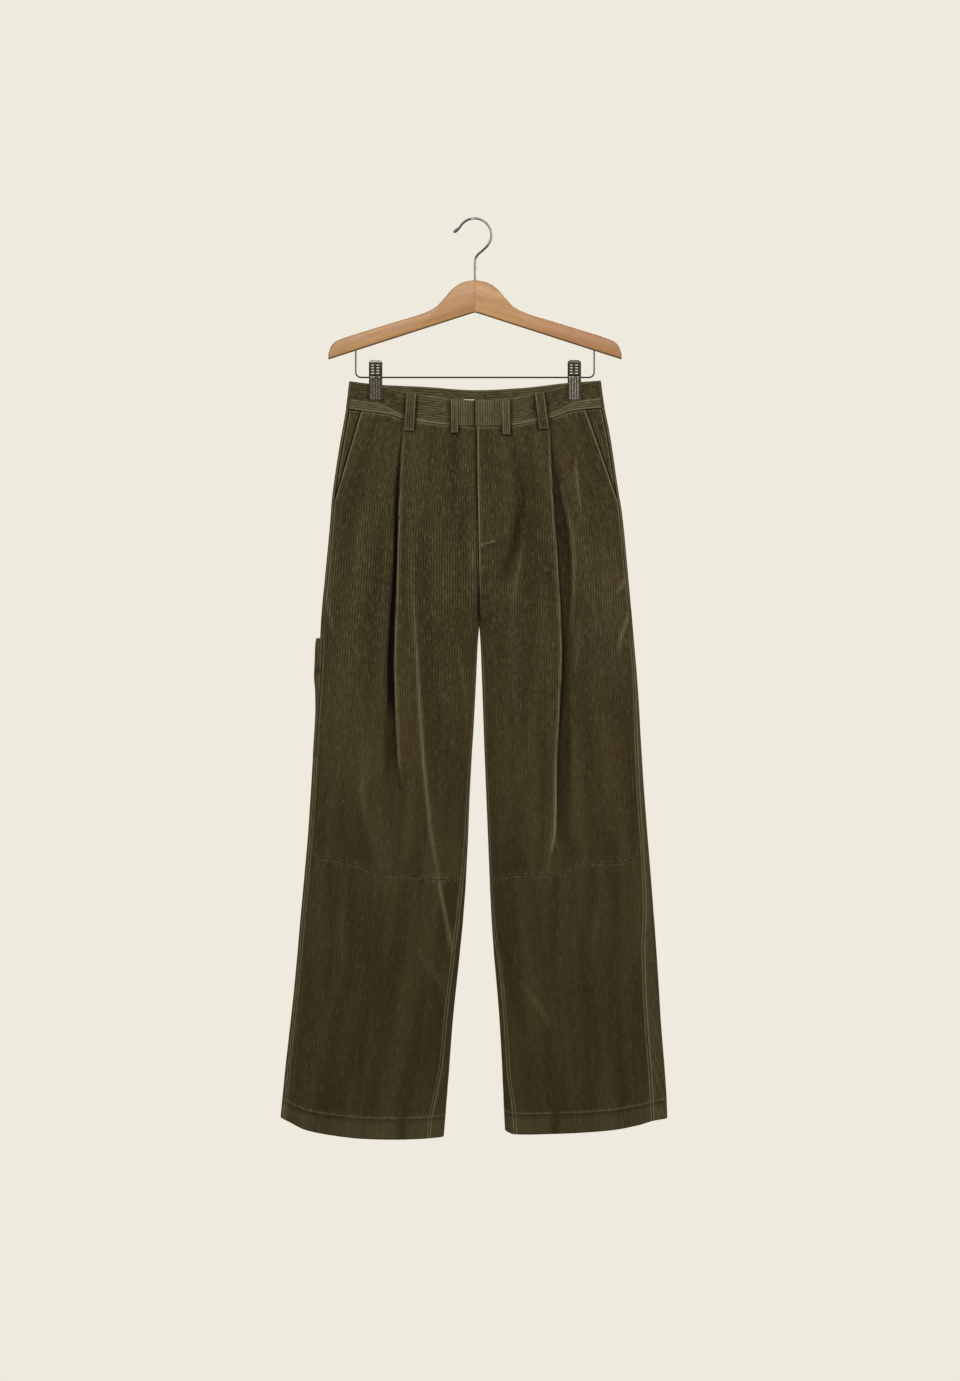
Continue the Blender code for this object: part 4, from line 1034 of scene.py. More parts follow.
def pleat_marks(side, u, z):
    """The painted highlight on the fold's edge, and the painted shade in the valley beside it."""
    past = u - smooth(PLEAT_EDGE[side], z)
    inside = np.maximum(past, 0)
    wear_and_highlight = (1 - pleat_open(side, z)) * smooth(PLEAT_LIT[side], z)
    wear_and_highlight = wear_and_highlight * bell(past + PLEAT_LIT_AT[0], PLEAT_LIT_AT[1])
    flat = falling(z, *PLEAT_FLAT)
    wide = 1 - ease((past - PLEAT_WIDE[0]) / PLEAT_WIDE[1])
    broad = (1 - flat) * fade(inside, PLEAT_BROAD) + flat * wide
    tight = 1 - ease((past - smooth(PLEAT_VALLEY[side], z)) / PLEAT_SHARP + 0.5)
    if side == "left":
        tight = np.maximum(0.5 * tight, fade(inside, PLEAT_LEFT_FADE))
    shape = broad + (tight - broad) * ease((z - PLEAT_SOFTENS[side]) / PLEAT_SOFTENING)
    return wear_and_highlight * (past <= 0), shape * smooth(PLEAT_SHADE[side], z) * (past > 0)


def hem_marks(side, face, u, z):
    """The turned hem shows as a lit line above the edge, with a shadow under it."""
    above = z - row_heights(side, face, HEM + HEM_TURN, u)
    share, uneven, line_at, line_width = HEM_LIT
    wear_and_highlight = (share + uneven * wobble(u)) * bell(above - line_at, line_width)
    wear_and_highlight = wear_and_highlight + HEM_GLOW[0] * ease(-above / HEM_GLOW[1])
    return wear_and_highlight, HEM_DARK[0] * bell(above + HEM_DARK[1], HEM_DARK[2])


def knee_marks(side, u, z):
    """The knee seam shows as broken dashes of painted highlight and painted shade, strongest where the long
    ridge crosses it.
    """
    below = row_heights(side, "front", KNEE, u) - z
    dashes = np.clip(0.5 + 0.7 * wobble(u), 0, 1)
    reach, more_lit, more_dark, dark_above = KNEE_CROSSING
    crossed = bell(u - KNEE_CROSSED[side], reach)
    lit, painted_shade = 0, 0
    for k, (at, share) in enumerate(KNEE_DASHES):
        here = share * np.clip(1.3 * wobble(1.2 * u + 17 * MM * k), 0, 1) + more_lit * crossed
        lit = lit + here * bell(below - at, KNEE_DASH)
        painted_shade = painted_shade + more_dark * crossed * bell(below - at + dark_above, KNEE_DASH)
    return lit, painted_shade + KNEE_DARK[0] * dashes * bell(below, KNEE_DARK[1])


def fly_marks(side, u, z):
    """The lap's lit edge, the shadow beside it, and the short seam that ends the fly."""
    from_fly = u - centre_u(side, z)
    if side == "right":
        return 0, FLY_DARK[0] * bell(np.maximum(from_fly, 0), FLY_DARK[1])
    least, more, over, less = FLY_LIT
    share = least + more * ease((z - FLY_BOTTOM) / over) - less * falling(z, *SEAM_GAPE[:2])
    u_from, z_from, u_to, z_to = FLY_END
    along = (u - u_from) / (u_to - u_from)
    above = z - (z_from + (z_to - z_from) * along)
    there = ease(along / FLY_END_FADE) * ease((1 - along) / FLY_END_FADE)
    lit, lit_width = FLY_END_LIT
    dark, dark_below, dark_width = FLY_END_DARK
    wear_and_highlight = share * bell(from_fly - FLY_LIT_AT[0], FLY_LIT_AT[1]) + lit * there * bell(above, lit_width)
    return wear_and_highlight, dark * there * bell(above + dark_below, dark_width)


def front_marks(side, u, z):
    """Marks of one row of the front: folds, the pleat, the fly, seams and the pocket's edge."""
    fly_worn, fly_hollow = fly_marks(side, u, z)
    above_crotch = ease((z - CROTCH) / ABOVE_CROTCH)
    marks = [fold_marks(side, "front", u, z), pleat_marks(side, u, z), hem_marks(side, "front", u, z)]
    wear_and_highlight, painted_shade = zip(*marks, knee_marks(side, u, z))
    # Painted highlight on the pocket's edge, and painted shade in the gaping seam under the fly
    lit, inside, width = SLOT_LIT
    slot = lit * bell(smooth(POCKET_SLOT[side], z) - u - inside, width) * (z > POCKET_BOTTOM)
    gape = falling(z, *SEAM_GAPE[:2]) * (z > CROTCH - 2 * MM)
    gape = gape * bell(u - centre_u(side, z), SEAM_GAPE[2])
    wear_and_highlight = np.maximum.reduce([*wear_and_highlight, slot, fly_worn * above_crotch])
    painted_shade = np.maximum.reduce([*painted_shade, gape, loop_shade("front", SIDES[side] * u, z)])
    return np.clip(wear_and_highlight, 0, 1), np.clip(painted_shade + fly_hollow * above_crotch, 0, 1)


def slot_lift(side, u, z):
    """The front stands away from the facing at the pocket's slanted edge."""
    near = 1 - ease((smooth(POCKET_SLOT[side], z) - u) / SLOT_REACH)
    return SLOT_LIFT * near * ease((z - POCKET_BOTTOM) / SLOT_FADE) * falling(z, *SLOT_TOP)


def front_inner_u(side, z):
    above = centre_u(side, z) + np.where((z > FLY_LAP_BOTTOM) & (side == "right"), -FLY_LAP, -SEAM_TUCK)
    inset = np.maximum(smooth(INSEAM_INSET[side], z), INSEAM_LEAST) - SEAM_TUCK
    return np.where(z > CROTCH - FORK_SEAM_BELOW, above, inner_u(side, z) + inset)


def front_outer_u(side, z):
    slot = smooth(POCKET_SLOT[side], z)
    seam = outseam_u(side, z) + SEAM_TUCK
    return np.where(z > POCKET_BOTTOM, np.minimum(slot, seam), seam)


def front_row(side, nominal, count):
    """One row of the front, round the pleat's fold: u, w, height and the two marks."""
    first = float(settle(side, "front", nominal, lambda z: front_inner_u(side, z)))
    last = float(settle(side, "front", nominal, lambda z: front_outer_u(side, z)))
    z = float(row_heights(side, "front", nominal, smooth(PLEAT_EDGE[side], nominal)))
    corners = pleat_corners(side, z)

    def stretch(start, end, steps, place):
        u = np.linspace(start, end, steps)
        z = row_heights(side, "front", nominal, u)
        return np.stack([u, place(u, z), z, *front_marks(side, u, z)], axis=1)

    def inside(u, z):
        return depth(side, "front", u, z) + pleat_lift(side, u, z) + fly_shift(side, u, z)

    def outside(u, z):
        return outside_pleat(side, u, z) + slot_lift(side, u, z)

    shut = 1 - float(pleat_open(side, z))
    middle = [(u, w, row_heights(side, "front", nominal, u), 0, shut) for u, w in corners[1:3]]
    inner = stretch(first, corners[0][0], FRONT_STEPS[0], inside)
    outer = stretch(corners[3][0], last, FRONT_STEPS[1], outside)
    path = rounded(np.concatenate([inner, np.array(middle, float), outer]), CORNER_ROUND)
    return evenly(path, count)


def front_grid(side, rows, wales):
    """A front or a shin: X, Y, height and the two marks of each point."""
    grid = np.array([front_row(side, z, 4 * wales + 1) for z in rows])
    return grid * (SIDES[side], -1, 1, 1, 1)


def hem_inside(rows):
    """Half the wall's thickness: the turned hem doubles its inner half."""
    share = falling(np.array(rows), HEM + HEM_TURN + 1 * MM, 1.5 * MM)
    return (0.5 * WALL + WALL * share)[:, None]


# Backs


def ring_place(side, turn, z):
    """X and Y on the section: turn is 0 at the inner edge, pi at the outer one, 2 pi inside again."""
    inner, outer = inner_u(side, z), outer_u(side, z)
    u = 0.5 * (inner + outer) - 0.5 * (outer - inner) * np.cos(turn)
    back = (turn >= math.pi) & (turn <= 2 * math.pi)
    y = np.where(back, depth(side, "back", u, z), -depth(side, "front", u, z))
    return SIDES[side] * u, y


def wrap_turn(side, z, inset):
    """How far round the edge of the section a seam lies that is this far inside it."""
    return np.arccos(1 - 2 * inset / (outer_u(side, z) - inner_u(side, z)))


def back_turns(side, z):
    first = math.pi - wrap_turn(side, z, smooth(OUTSEAM_INSET[side], z) - GAP)
    inset = np.maximum(smooth(INSEAM_INSET[side], z), INSEAM_LEAST) - GAP
    last = 2 * math.pi + np.where(z > CROTCH - FORK_SEAM_BELOW, 0, wrap_turn(side, z, inset))
    return first, last


def back_grid(side, rows, wales, share=1.0):
    """The back from the outseam toward the inseam, up to a share of its way round."""
    nominal = np.array(rows)[:, None]
    steps = share * np.linspace(0, 1, BACK_STEPS)[None, :]
    z = nominal
    for _ in range(4):
        first, last = back_turns(side, z)
        turn = first + steps * (last - first)
        x, y = ring_place(side, turn, z)
        z = row_heights(side, "back", nominal, SIDES[side] * x)
    u = SIDES[side] * x
    marks = [
        np.where(y > 0, np.maximum(fold, hem), hem)
        for fold, hem in zip(fold_marks(side, "back", u, z), hem_marks(side, "back", u, z))
    ]
    # Painted highlight where the back shows round the outseam on the front
    always, low, *span = OUTSEAM_LIT
    gathered = always + low * falling(z, *span) * wobble(0.6 * z + 1.7 * u)
    marks[0] = marks[0] + np.where((y < 0) & (turn < 1.5 * math.pi), gathered, 0)
    return np.array([evenly(row, 4 * wales + 1) for row in layers(x, y, z, *marks)])


# Pockets, waistband, loops and label


def facing_grid(side, rows, wales):
    """The side piece behind the slanted opening, with its wales parallel to the outseam."""
    nominal = np.array(rows)[:, None]
    inward = np.arange(4 * wales + 1)[None, :] * 0.25 * WALE
    u = outseam_u(side, nominal) - inward
    for _ in range(3):
        z = row_heights(side, "front", nominal, u)
        u = outseam_u(side, z) - GAP - inward
    w = depth(side, "front", u, z) - WALL - 2 * GAP
    past = u - smooth(POCKET_SLOT[side], z)
    # Painted shade on the facing near the pocket's opening
    painted_shade = 1 - ease((past - FACING_DARK[0]) / FACING_DARK[1])
    return layers(SIDES[side] * u, -w, z, 0, painted_shade)


def tool_pocket_grid(rows, wales):
    """A patch on the right back whose edge stands away at the side fold."""
    grid = back_grid("right", rows, wales, TOOL_POCKET_SHARE)[..., :3]
    grid = grid + grid_normals(grid, 1)[0] * (WALL + GAP + WALE_HEIGHT)
    share = np.linspace(0, TOOL_POCKET_SHARE, grid.shape[1])
    puff = smooth(TOOL_POCKET_PUFF, grid[..., 2]) * (1 - ease(share / TOOL_POCKET_FOLD))
    grid[..., 0] -= puff * ease(share / TOOL_POCKET_LIFTS)
    grid = np.array([evenly(row, grid.shape[1]) for row in grid])
    # Lighter at the folded edge, from wear and painted highlight, and painted shade along the rows of
    # stitches
    wear_and_highlight = 0.4 * (1 - ease(share / (3 * TOOL_POCKET_LIFTS)))
    sewn = sum(bell(grid[..., 2] - z, 1.5 * MM) for z in TOOL_POCKET_ROWS)
    return layers(*np.moveaxis(grid, -1, 0), wear_and_highlight * (1 - sewn), 0.5 * sewn)


def either_side(x, measure):
    """A value that depends on the half, at X of either half."""
    return np.where(x < 0, measure("right", -x), measure("left", x))


def band_depth(face, x, z):
    return either_side(x, lambda side, u: depth(side, face, u, z))


def band_heights(face, x, share):
    """From the waistband's top (0) to its bottom (1) at X."""
    high = smooth(BAND_TOP[face], x)
    return high + share * (smooth(BAND_LOW[face], x) + BAND_SEAM - SEAM_TUCK - high)


def band_swell(x, share):
    """The part of the waistband below its crease stands out."""
    line = smooth(BAND_CREASE_AT, x)
    return smooth(BAND_CREASE_OUT, x) * ease((share - line) / BAND_CREASE_REACH + 0.5)


def side_seam_x(side, share):
    """X of the side seam on the front of the waistband, at a share of its height."""
    x = SIDES[side] * SIDE_SEAM_ABOUT
    for _ in range(3):
        x = SIDES[side] * outseam_u(side, band_heights("front", x, share))
    return x


def band_grid(first, last, count, wales):
    """A stretch of the front of the waistband between two X, where None is the side seam."""
    share = np.linspace(0, 1, 4 * wales + 1)[None, :]
    start = side_seam_x("right", share) if first is None else first
    end = side_seam_x("left", share) if last is None else last
    x = start + np.linspace(0, 1, count)[:, None] * (end - start)
    z = band_heights("front", x, share)
    past = share - smooth(BAND_CREASE_AT, x)
    below = ease(past / BAND_CREASE_REACH + 0.5) * (np.abs(x) > BAND_LIT_BEYOND)
    # Painted lighter along X, with painted highlight below and on the crease and along the top edge
    wear_and_highlight = smooth(BAND_LIGHTER_AT, x) + BAND_LIT["below"] * below
    wear_and_highlight = wear_and_highlight + BAND_LIT["crease"] * bell(past, 0.045) + BAND_LIT["edge"] * bell(share, 0.035)
    # Painted shade beside the clips and the loops
    beside = np.abs(np.abs(x) - CLIP_AT) - 0.5 * CLIP_WIDTH
    dark, away, width, low, over = CLIP_SHADE
    painted_shade = dark * bell(beside - away, width) * ease((z - low) / over)
    painted_shade = np.maximum(painted_shade, loop_shade("front", x, z))
    y = -band_depth("front", x, z) - band_swell(x, share)
    return layers(x, y, z, wear_and_highlight, painted_shade)


def tab_grid(first, last, count, wales):
    """The end of the waistband at the fastening, with upright wales."""
    x = np.linspace(first, last, 4 * wales + 1)[None, :]
    share = np.linspace(0, 1, count)[:, None]
    z = band_heights("front", x, share)
    y = -band_depth("front", x, z) - TAB_PROUD - TAB_SWELL * np.sin(math.pi * share)
    # Painted shade in the gap where the tabs meet, and painted highlight along the top edge
    painted_shade = TAB_GAP[0] * bell(x - TAB_GAP[1], TAB_GAP[2])
    return layers(x, y, z, (TAB_LIGHTER + 0.3 * bell(share, 0.05)) * (1 - painted_shade), painted_shade)


def band_back_grid(count, wales):
    """Across the back and round both ends, to the side seams on the front."""
    share = np.linspace(0, 1, 4 * wales + 1)[None, :]
    halves = []
    for side, steps in (("right", np.linspace(0, 1, count)), ("left", np.linspace(1, 0, count)[1:])):
        z = BAND_MIDDLE_ABOUT
        for _ in range(4):
            first = math.pi - wrap_turn(side, z, smooth(OUTSEAM_INSET[side], z) - GAP)
            turn = first + steps[:, None] * (2 * math.pi - first)
            x, y = ring_place(side, turn, z)
            z = np.where(y < 0, band_heights("front", x, share), band_heights("back", x, share))
        halves.append(layers(x, y, z))
    grid = np.concatenate(halves)
    even = np.stack([evenly(grid[:, c], count) for c in range(grid.shape[1])], axis=1)
    # Painted highlight along the band's top edge
    return layers(*np.moveaxis(even, -1, 0), BAND_BACK_LIGHTER + 0.45 * bell(share, 0.04), 0)


def surface_reach(face, x, z):
    """Distance of the outermost cloth from the hanger's plane, waistband and pleat included."""
    top, low = smooth(BAND_TOP[face], x), smooth(BAND_LOW[face], x)
    share = np.clip((top - z) / (top - low), 0, 1)
    base = band_depth(face, x, z)
    by_tabs = (x > TAB_RIGHT[0] - TAB_EASE) & (x < TAB_LEFT[1] + TAB_EASE) & (face == "front")
    band = base + 0.5 * BAND_WALL + np.where(by_tabs, TAB_PROUD + TAB_SWELL, 0)
    if face == "front":
        band = band + band_swell(x, share)
        lift = either_side(x, lambda side, u: pleat_lift(side, u, z) + np.maximum(fly_shift(side, u, z), 0))
        base = base + lift
    return np.where(z > low - 1 * MM, band, base + 0.5 * WALL) + WALE_HEIGHT


def loop_grid(face, x_top, x_bottom, width, length, clear, count, wales):
    """A strip sewn down at both ends, and flat and arched clear of the waistband for a belt."""
    share = np.linspace(0, 1, count)
    middle = (x_top + share * (x_bottom - x_top)) * MM
    z = (smooth(BAND_TOP[face], middle) - share * length * MM - LOOP_BELOW_TOP)[:, None]
    x = middle[:, None] + np.linspace(-0.5, 0.5, 4 * wales + 1)[None, :] * width * MM
    near = np.max([surface_reach(face, x, z + step) for step in LOOP_FEEL], axis=0)
    arch = smooth(LOOP_SHAPE, share)[:, None]
    off = GAP + 0.5 * LOOP_WALL + LOOP_EASE + arch * clear * MM
    reach = near + arch * (near.max(axis=1, keepdims=True) - near) + off
    from_side = 0.5 * width * MM - np.abs(x - middle[:, None])
    by_fly = abs(x_top) < TAB_LEFT[1] / MM
    # Painted highlight along the loop's sides, more by the fly, and painted shade at its very edges
    more, share, inside, width = LOOP_LIT
    wear_and_highlight = LOOP_LIGHTER + more * by_fly + share * bell(from_side - inside, width)
    painted_shade = LOOP_DARK[0] * np.clip(1 - from_side / LOOP_DARK[1], 0, 1)
    return layers(x, FACES[face] * reach, z, wear_and_highlight, painted_shade)


def loop_shade(face, x, z):
    """Painted shade on the cloth right beside the belt loops."""
    most, beside, reach = LOOP_SHADE
    total = 0
    for _, which, x_top, x_bottom, width, length, _ in LOOPS:
        if which != face:
            continue
        top = smooth(BAND_TOP[face], x_top * MM)
        share = np.clip((top - z) / (length * MM), 0, 1)
        middle = (x_top + share * (x_bottom - x_top)) * MM
        away = np.abs(x - middle) - 0.5 * width * MM
        inside = ease((z - top + (length + 1) * MM) / (2 * MM))
        total = np.maximum(total, most * inside * bell(away - beside, reach))
    return total


def label_grid():
    x = np.linspace(*LABEL_X, 13)[None, :]
    z = np.linspace(*LABEL_Z, 17)[:, None]
    y = -band_depth("front", x, z) + 0.5 * BAND_WALL + 1.5 * GAP + 0.5 * LABEL_WALL
    return layers(x, y, z)


# Materials


class Nodes:
    """Short calls for a material's nodes."""

    def __init__(self, name):
        self.material = bpy.data.materials.new(name)
        self.material.use_nodes = True
        self.tree = self.material.node_tree
        self.shader = self.tree.nodes["Principled BSDF"]

    def node(self, kind, inputs=(), **facts):
        made = self.tree.nodes.new("ShaderNode" + kind)
        for key, value in facts.items():
            setattr(made, key, value)
        for key, value in dict(inputs).items():
            self.put(value, made.inputs[key])
        return made

    def put(self, value, socket):
        if isinstance(value, bpy.types.NodeSocket):
            self.tree.links.new(value, socket)
        else:
            socket.default_value = value

    def maths(self, operation, a, b=0.0):
        return self.node("Math", {0: a, 1: b}, operation=operation).outputs[0]

    def times(self, a, b):
        return self.maths("MULTIPLY", a, b)

    def split(self, vector):
        return self.node("SeparateXYZ", {0: vector}).outputs

    def place(self):
        """The place on the piece, in metres."""
        return self.node("TexCoord").outputs["Object"]

    def mark(self, key):
        """What mark_points gave each point."""
        return self.node("Attribute", attribute_name=key).outputs["Fac"]

    def wave(self, scale, way):
        inputs = {"Vector": self.place(), "Scale": scale}
        return self.node("TexWave", inputs, bands_direction=way).outputs["Fac"]

    def noise(self, vector, scale, detail=2.0, roughness=0.5):
        place = self.node("Mapping", {"Vector": vector, "Scale": scale}).outputs[0]
        inputs = {"Vector": place, "Scale": 1.0, "Detail": detail, "Roughness": roughness}
        return self.node("TexNoise", inputs).outputs["Fac"]

    def span(self, value, low, high, to_low=0.0, to_high=1.0):
        inputs = {0: value, 1: low, 2: high, 3: to_low, 4: to_high}
        return self.node("MapRange", inputs, interpolation_type="SMOOTHSTEP").outputs[0]

    def mix(self, share, a, b):
        made = self.node("Mix", data_type="RGBA")
        for value, socket in ((share, made.inputs[0]), (a, made.inputs[6]), (b, made.inputs[7])):
            self.put((*value, 1) if isinstance(value, tuple) else value, socket)
        return made.outputs[2]

    def layered(self, tone, mixes):
        """Mix colours over a tone one after another, each by its share."""
        for share, colour in mixes:
            tone = self.mix(share, tone, colour)
        return tone

    def bump(self, height, strength, distance):
        inputs = {"Height": height, "Strength": strength, "Distance": distance}
        return self.node("Bump", inputs).outputs[0]

    def finish(self, **values):
        for key, value in values.items():
            name = key.replace("_", " ").title().replace("Ior", "IOR")
            self.put((*value, 1) if isinstance(value, tuple) else value, self.shader.inputs[name])
        return self.material


# Pile colours: near black for painted shade, darker and plain pile, and a pale tone for paler pile, wear
# and painted highlight
CORD_BLACK = (0.0015, 0.0012, 0.0008)
CORD_DEEP = (0.013, 0.010, 0.0035)
CORD_BROWN = (0.083, 0.060, 0.0225)
CORD_OLIVE = (0.077, 0.0645, 0.0245)
CORD_PALE = (0.258, 0.214, 0.116)


def corduroy():
    """Fine pile in wales, each wale uneven along its length, with painted shade and painted highlights."""
    n = Nodes("corduroy_pile")
    place = n.node("UVMap", uv_map="cloth").outputs[0]
    split = n.split(place)
    across = n.maths("DIVIDE", split[0], WALE)
    height = n.split(n.place())[2]
    wear_and_highlight, painted_shade = n.mark("wear_and_highlight"), n.mark("painted_shade")
    number = n.times(n.maths("FLOOR", across), 7.31)
    own = n.noise(n.node("CombineXYZ", {0: number, 1: split[1]}).outputs[0], (1, 60, 1), 4, 0.65)
    hue = n.noise(place, (16, 5, 1), 3, 0.6)
    band = n.noise(place, (34, 3.5, 1), 3, 0.5)
    tuft = n.noise(place, (450, 115, 1), 3, 0.62)
    lively = n.maths("ADD", n.span(height, -1.0, -0.5, 0.45, 1), n.span(height, -0.32, -0.30, 0, 0.35))
    # Painted shade in the groove between wales, less of it lower down
    crown = n.maths("COSINE", n.times(across, 2 * math.pi))
    furrow = n.times(n.span(crown, -0.1, 0.95, 0, 0.62), n.span(height, -1.0, -0.5, 0.6, 1))
    colour = n.layered(CORD_BROWN, (
        (n.span(hue, 0.36, 0.64), CORD_OLIVE),
        # Painted shade, darker towards the hem
        (n.span(height, -1.18, -0.74, 0.23, 0), CORD_DEEP),
        (n.span(band, 0.34, 0.66, 0.46, 0), CORD_DEEP),
        (n.times(n.span(own, 0.28, 0.50, 0.42, 0), lively), CORD_DEEP),
        (n.times(n.span(own, 0.50, 0.76, 0, 0.26), lively), CORD_PALE),
        (n.times(n.span(tuft, 0.30, 0.48, 0.5, 0), lively), CORD_DEEP),
        (n.times(n.span(tuft, 0.52, 0.72, 0, 0.25), lively), CORD_PALE),
        # Wear and painted highlight where marked
        (n.times(wear_and_highlight, n.span(own, 0.2, 0.6, 0.55, 1)), CORD_PALE),
        # Painted shade in the grooves, then painted shade where marked, nearly black
        (furrow, CORD_DEEP),
        (n.times(painted_shade, 0.98), CORD_BLACK),
    ))
    hair = n.noise(place, (1500, 900, 1))
    soft = n.bump(n.maths("ADD", hair, n.times(tuft, 1.5)), 0.3, 0.25 * MM)
    return n.finish(
        base_color=colour, roughness=0.92, specular_ior_level=0.12, sheen_weight=0.2,
        sheen_roughness=0.42, sheen_tint=(0.88, 0.74, 0.42), normal=soft,
    )


def floor_finish():
    """A pale matt finish with slight mottling."""
    n = Nodes("pale_floor")
    mottle = n.noise(n.place(), (300, 300, 300), 3)
    tone = n.mix(n.span(mottle, 0.3, 0.7), (0.6084, 0.585, 0.5304), (0.975, 0.9375, 0.85))
    rough = n.span(mottle, 0.25, 0.75, 0.68, 0.92)
    return n.finish(base_color=tone, roughness=rough, normal=n.bump(mottle, 0.2, 0.1 * MM))


def wood():
    """Satin beech: fine grain along each arm, mirrored at the joint, with painted shade on its rims and
    underside.
    """
    n = Nodes("beech_grain")
    x, y, z = n.split(n.place())
    away = n.maths("ABSOLUTE", x)
    along = n.maths("SUBTRACT", n.times(away, 0.95), n.times(z, 0.31))
    across = n.maths("ADD", n.times(away, 0.31), n.times(z, 0.95))
    across = n.maths("ADD", across, n.times(n.maths("GREATER_THAN", x, 0.0), 0.37))
    place = n.node("CombineXYZ", {0: along, 1: across, 2: y}).outputs[0]
    rings = n.noise(place, (5, 90, 60), 4, 0.6)
    pores = n.noise(place, (60, 900, 500))
    slow = n.noise(place, (3, 12, 9))
    _, flat, up = n.split(n.node("NewGeometry").outputs["Normal"])
    tone = n.layered((0.43, 0.190, 0.053), (
        (n.span(rings, 0.34, 0.66), (0.59, 0.312, 0.106)),
        (n.span(pores, 0.56, 0.70, 0, 0.5), (0.27, 0.115, 0.038)),
        (n.span(slow, 0.35, 0.7, 0, 0.35), (0.60, 0.340, 0.128)),
        (n.span(x, -0.002, 0.002, 0.22, 0), (0.36, 0.165, 0.055)),
        (n.span(away, 0.15, 0.22, 0, 0.35), (0.38, 0.175, 0.062)),
        (n.span(x, 0.03, 0.14, 0, 0.55), (0.40, 0.160, 0.052)),
        # Painted shade on the rounded rims, and on the underside
        (n.span(n.maths("ABSOLUTE", flat), 0.45, 0.85, 0.35, 0), (0.24, 0.105, 0.036)),
        (n.span(up, -0.6, -0.9, 0, 0.35), (0.18, 0.078, 0.027)),
    ))
    bump = n.bump(n.maths("ADD", rings, n.times(pores, 0.6)), 0.12, 0.15 * MM)
    rough = n.span(pores, 0.3, 0.7, 0.36, 0.5)
    return n.finish(base_color=tone, roughness=rough, coat_weight=0.1, coat_roughness=0.35, normal=bump)


def metal(name, colour, roughness, brushed):
    """Plated steel with fine brushing, duller in patches, nearly black in its painted shade and pale in
    painted highlights.
    """
    n = Nodes(name)
    lines = n.noise(n.place(), brushed)
    dull = n.noise(n.place(), (60, 60, 60))
    tone = n.layered(colour, (
        (n.span(dull, 0.35, 0.7, 0, 0.35), tuple(0.7 * c for c in colour)),
        # Painted shade and dark reflections where marked, then painted highlights where marked
        (n.mark("painted_shade"), tuple(0.16 * c for c in colour)),
        (n.mark("wear_and_highlight"), (0.80, 0.77, 0.70)),
    ))
    rough = n.span(lines, 0.3, 0.7, roughness - 0.04, roughness + 0.06)
    return n.finish(base_color=tone, metallic=1.0, roughness=rough, normal=n.bump(lines, 0.06, 0.03 * MM))


def thread_finish():
    """Twisted olive thread."""
    n = Nodes("olive_thread")
    shade = n.span(n.noise(n.place(), (300, 300, 300)), 0.35, 0.65)
    tone = n.mix(shade, (0.105, 0.085, 0.040), (0.17, 0.14, 0.075))
    twist = n.wave(900.0, "DIAGONAL")
    return n.finish(base_color=tone, roughness=0.7, normal=n.bump(twist, 0.3, 0.05 * MM))


def label_finish():
    """Fine white woven tape."""
    n = Nodes("white_tape")
    warp, weft = n.wave(500.0, "X"), n.wave(500.0, "Z")
    tone = n.mix(n.times(warp, weft), (0.80, 0.70, 0.56), (0.93, 0.84, 0.70))
    return n.finish(base_color=tone, roughness=0.75, normal=n.bump(warp, 0.3, 0.08 * MM))


# Hanger


def half_outline():
    """Outline of one arm from the joint's top round to its foot, with each point's rounding."""
    x = WOOD_TIP[0] * np.sin(0.5 * math.pi * np.linspace(0, 1, 90)) ** 0.9
    top = spaced(np.stack([x, smooth(WOOD_TOP, x)], axis=1), 2.5 * MM)
    joint, joint_round = WOOD_JOINT
    top[0, 0] = joint
    under = spaced([WOOD_TIP, (joint, WOOD_APEX)], 6 * MM)
    points = np.concatenate([top, under])
    rounding = np.full(len(points), WOOD_ROUND)
    rounding[[0, -1]] = joint_round
    return points, rounding


def ringed(name, rings):
    """A closed surface through rings of points."""
    total, count = rings.shape[:2]
    end = total * count
    faces = [tuple(range(count)), tuple(range(end - 1, end - count - 1, -1))]
    for base in range(0, end - count, count):
        for i in range(count):
            j = (i + 1) % count
            faces.append((base + i, base + count + i, base + count + j, base + j))
    return mesh_object(name, rings.reshape(-1, 3), faces)


def rounded_plate(name, points, rounding, thick, turns=5):
    """A closed plate in the plane Y = 0 with rounded edges."""
    a, b = points - np.roll(points, 1, axis=0), np.roll(points, -1, axis=0) - points
    a /= np.linalg.norm(a, axis=1, keepdims=True)
    b /= np.linalg.norm(b, axis=1, keepdims=True)
    inward = np.stack([a[:, 1] + b[:, 1], -(a[:, 0] + b[:, 0])], axis=1)
    inward /= np.maximum((inward**2).sum(axis=1, keepdims=True) * 0.5, 0.3)
    rings = []
    turns = np.linspace(0, 0.5 * math.pi, turns)
    for sign, order in ((-1, turns[::-1]), (1, turns)):
        for turn in order:
            flat = points + inward * (rounding * (1 - math.cos(turn)))[:, None]
            y = sign * (0.5 * thick - rounding * (1 - math.sin(turn)))
            rings.append(layers(flat[:, 0], y, flat[:, 1]))
    return ringed(name, np.array(rings))


def add_wood(finish):
    points, rounding = half_outline()
    for name, sign in (("wood_left", 1), ("wood_right", -1)):
        turned = points * (sign, 1)
        order = slice(None) if sign > 0 else slice(None, None, -1)
        made = rounded_plate(name, turned[order], rounding[order], WOOD_THICK)
        made.data.set_sharp_from_angle(angle=math.radians(50))
        declare(made, finish, "hanger_wood")


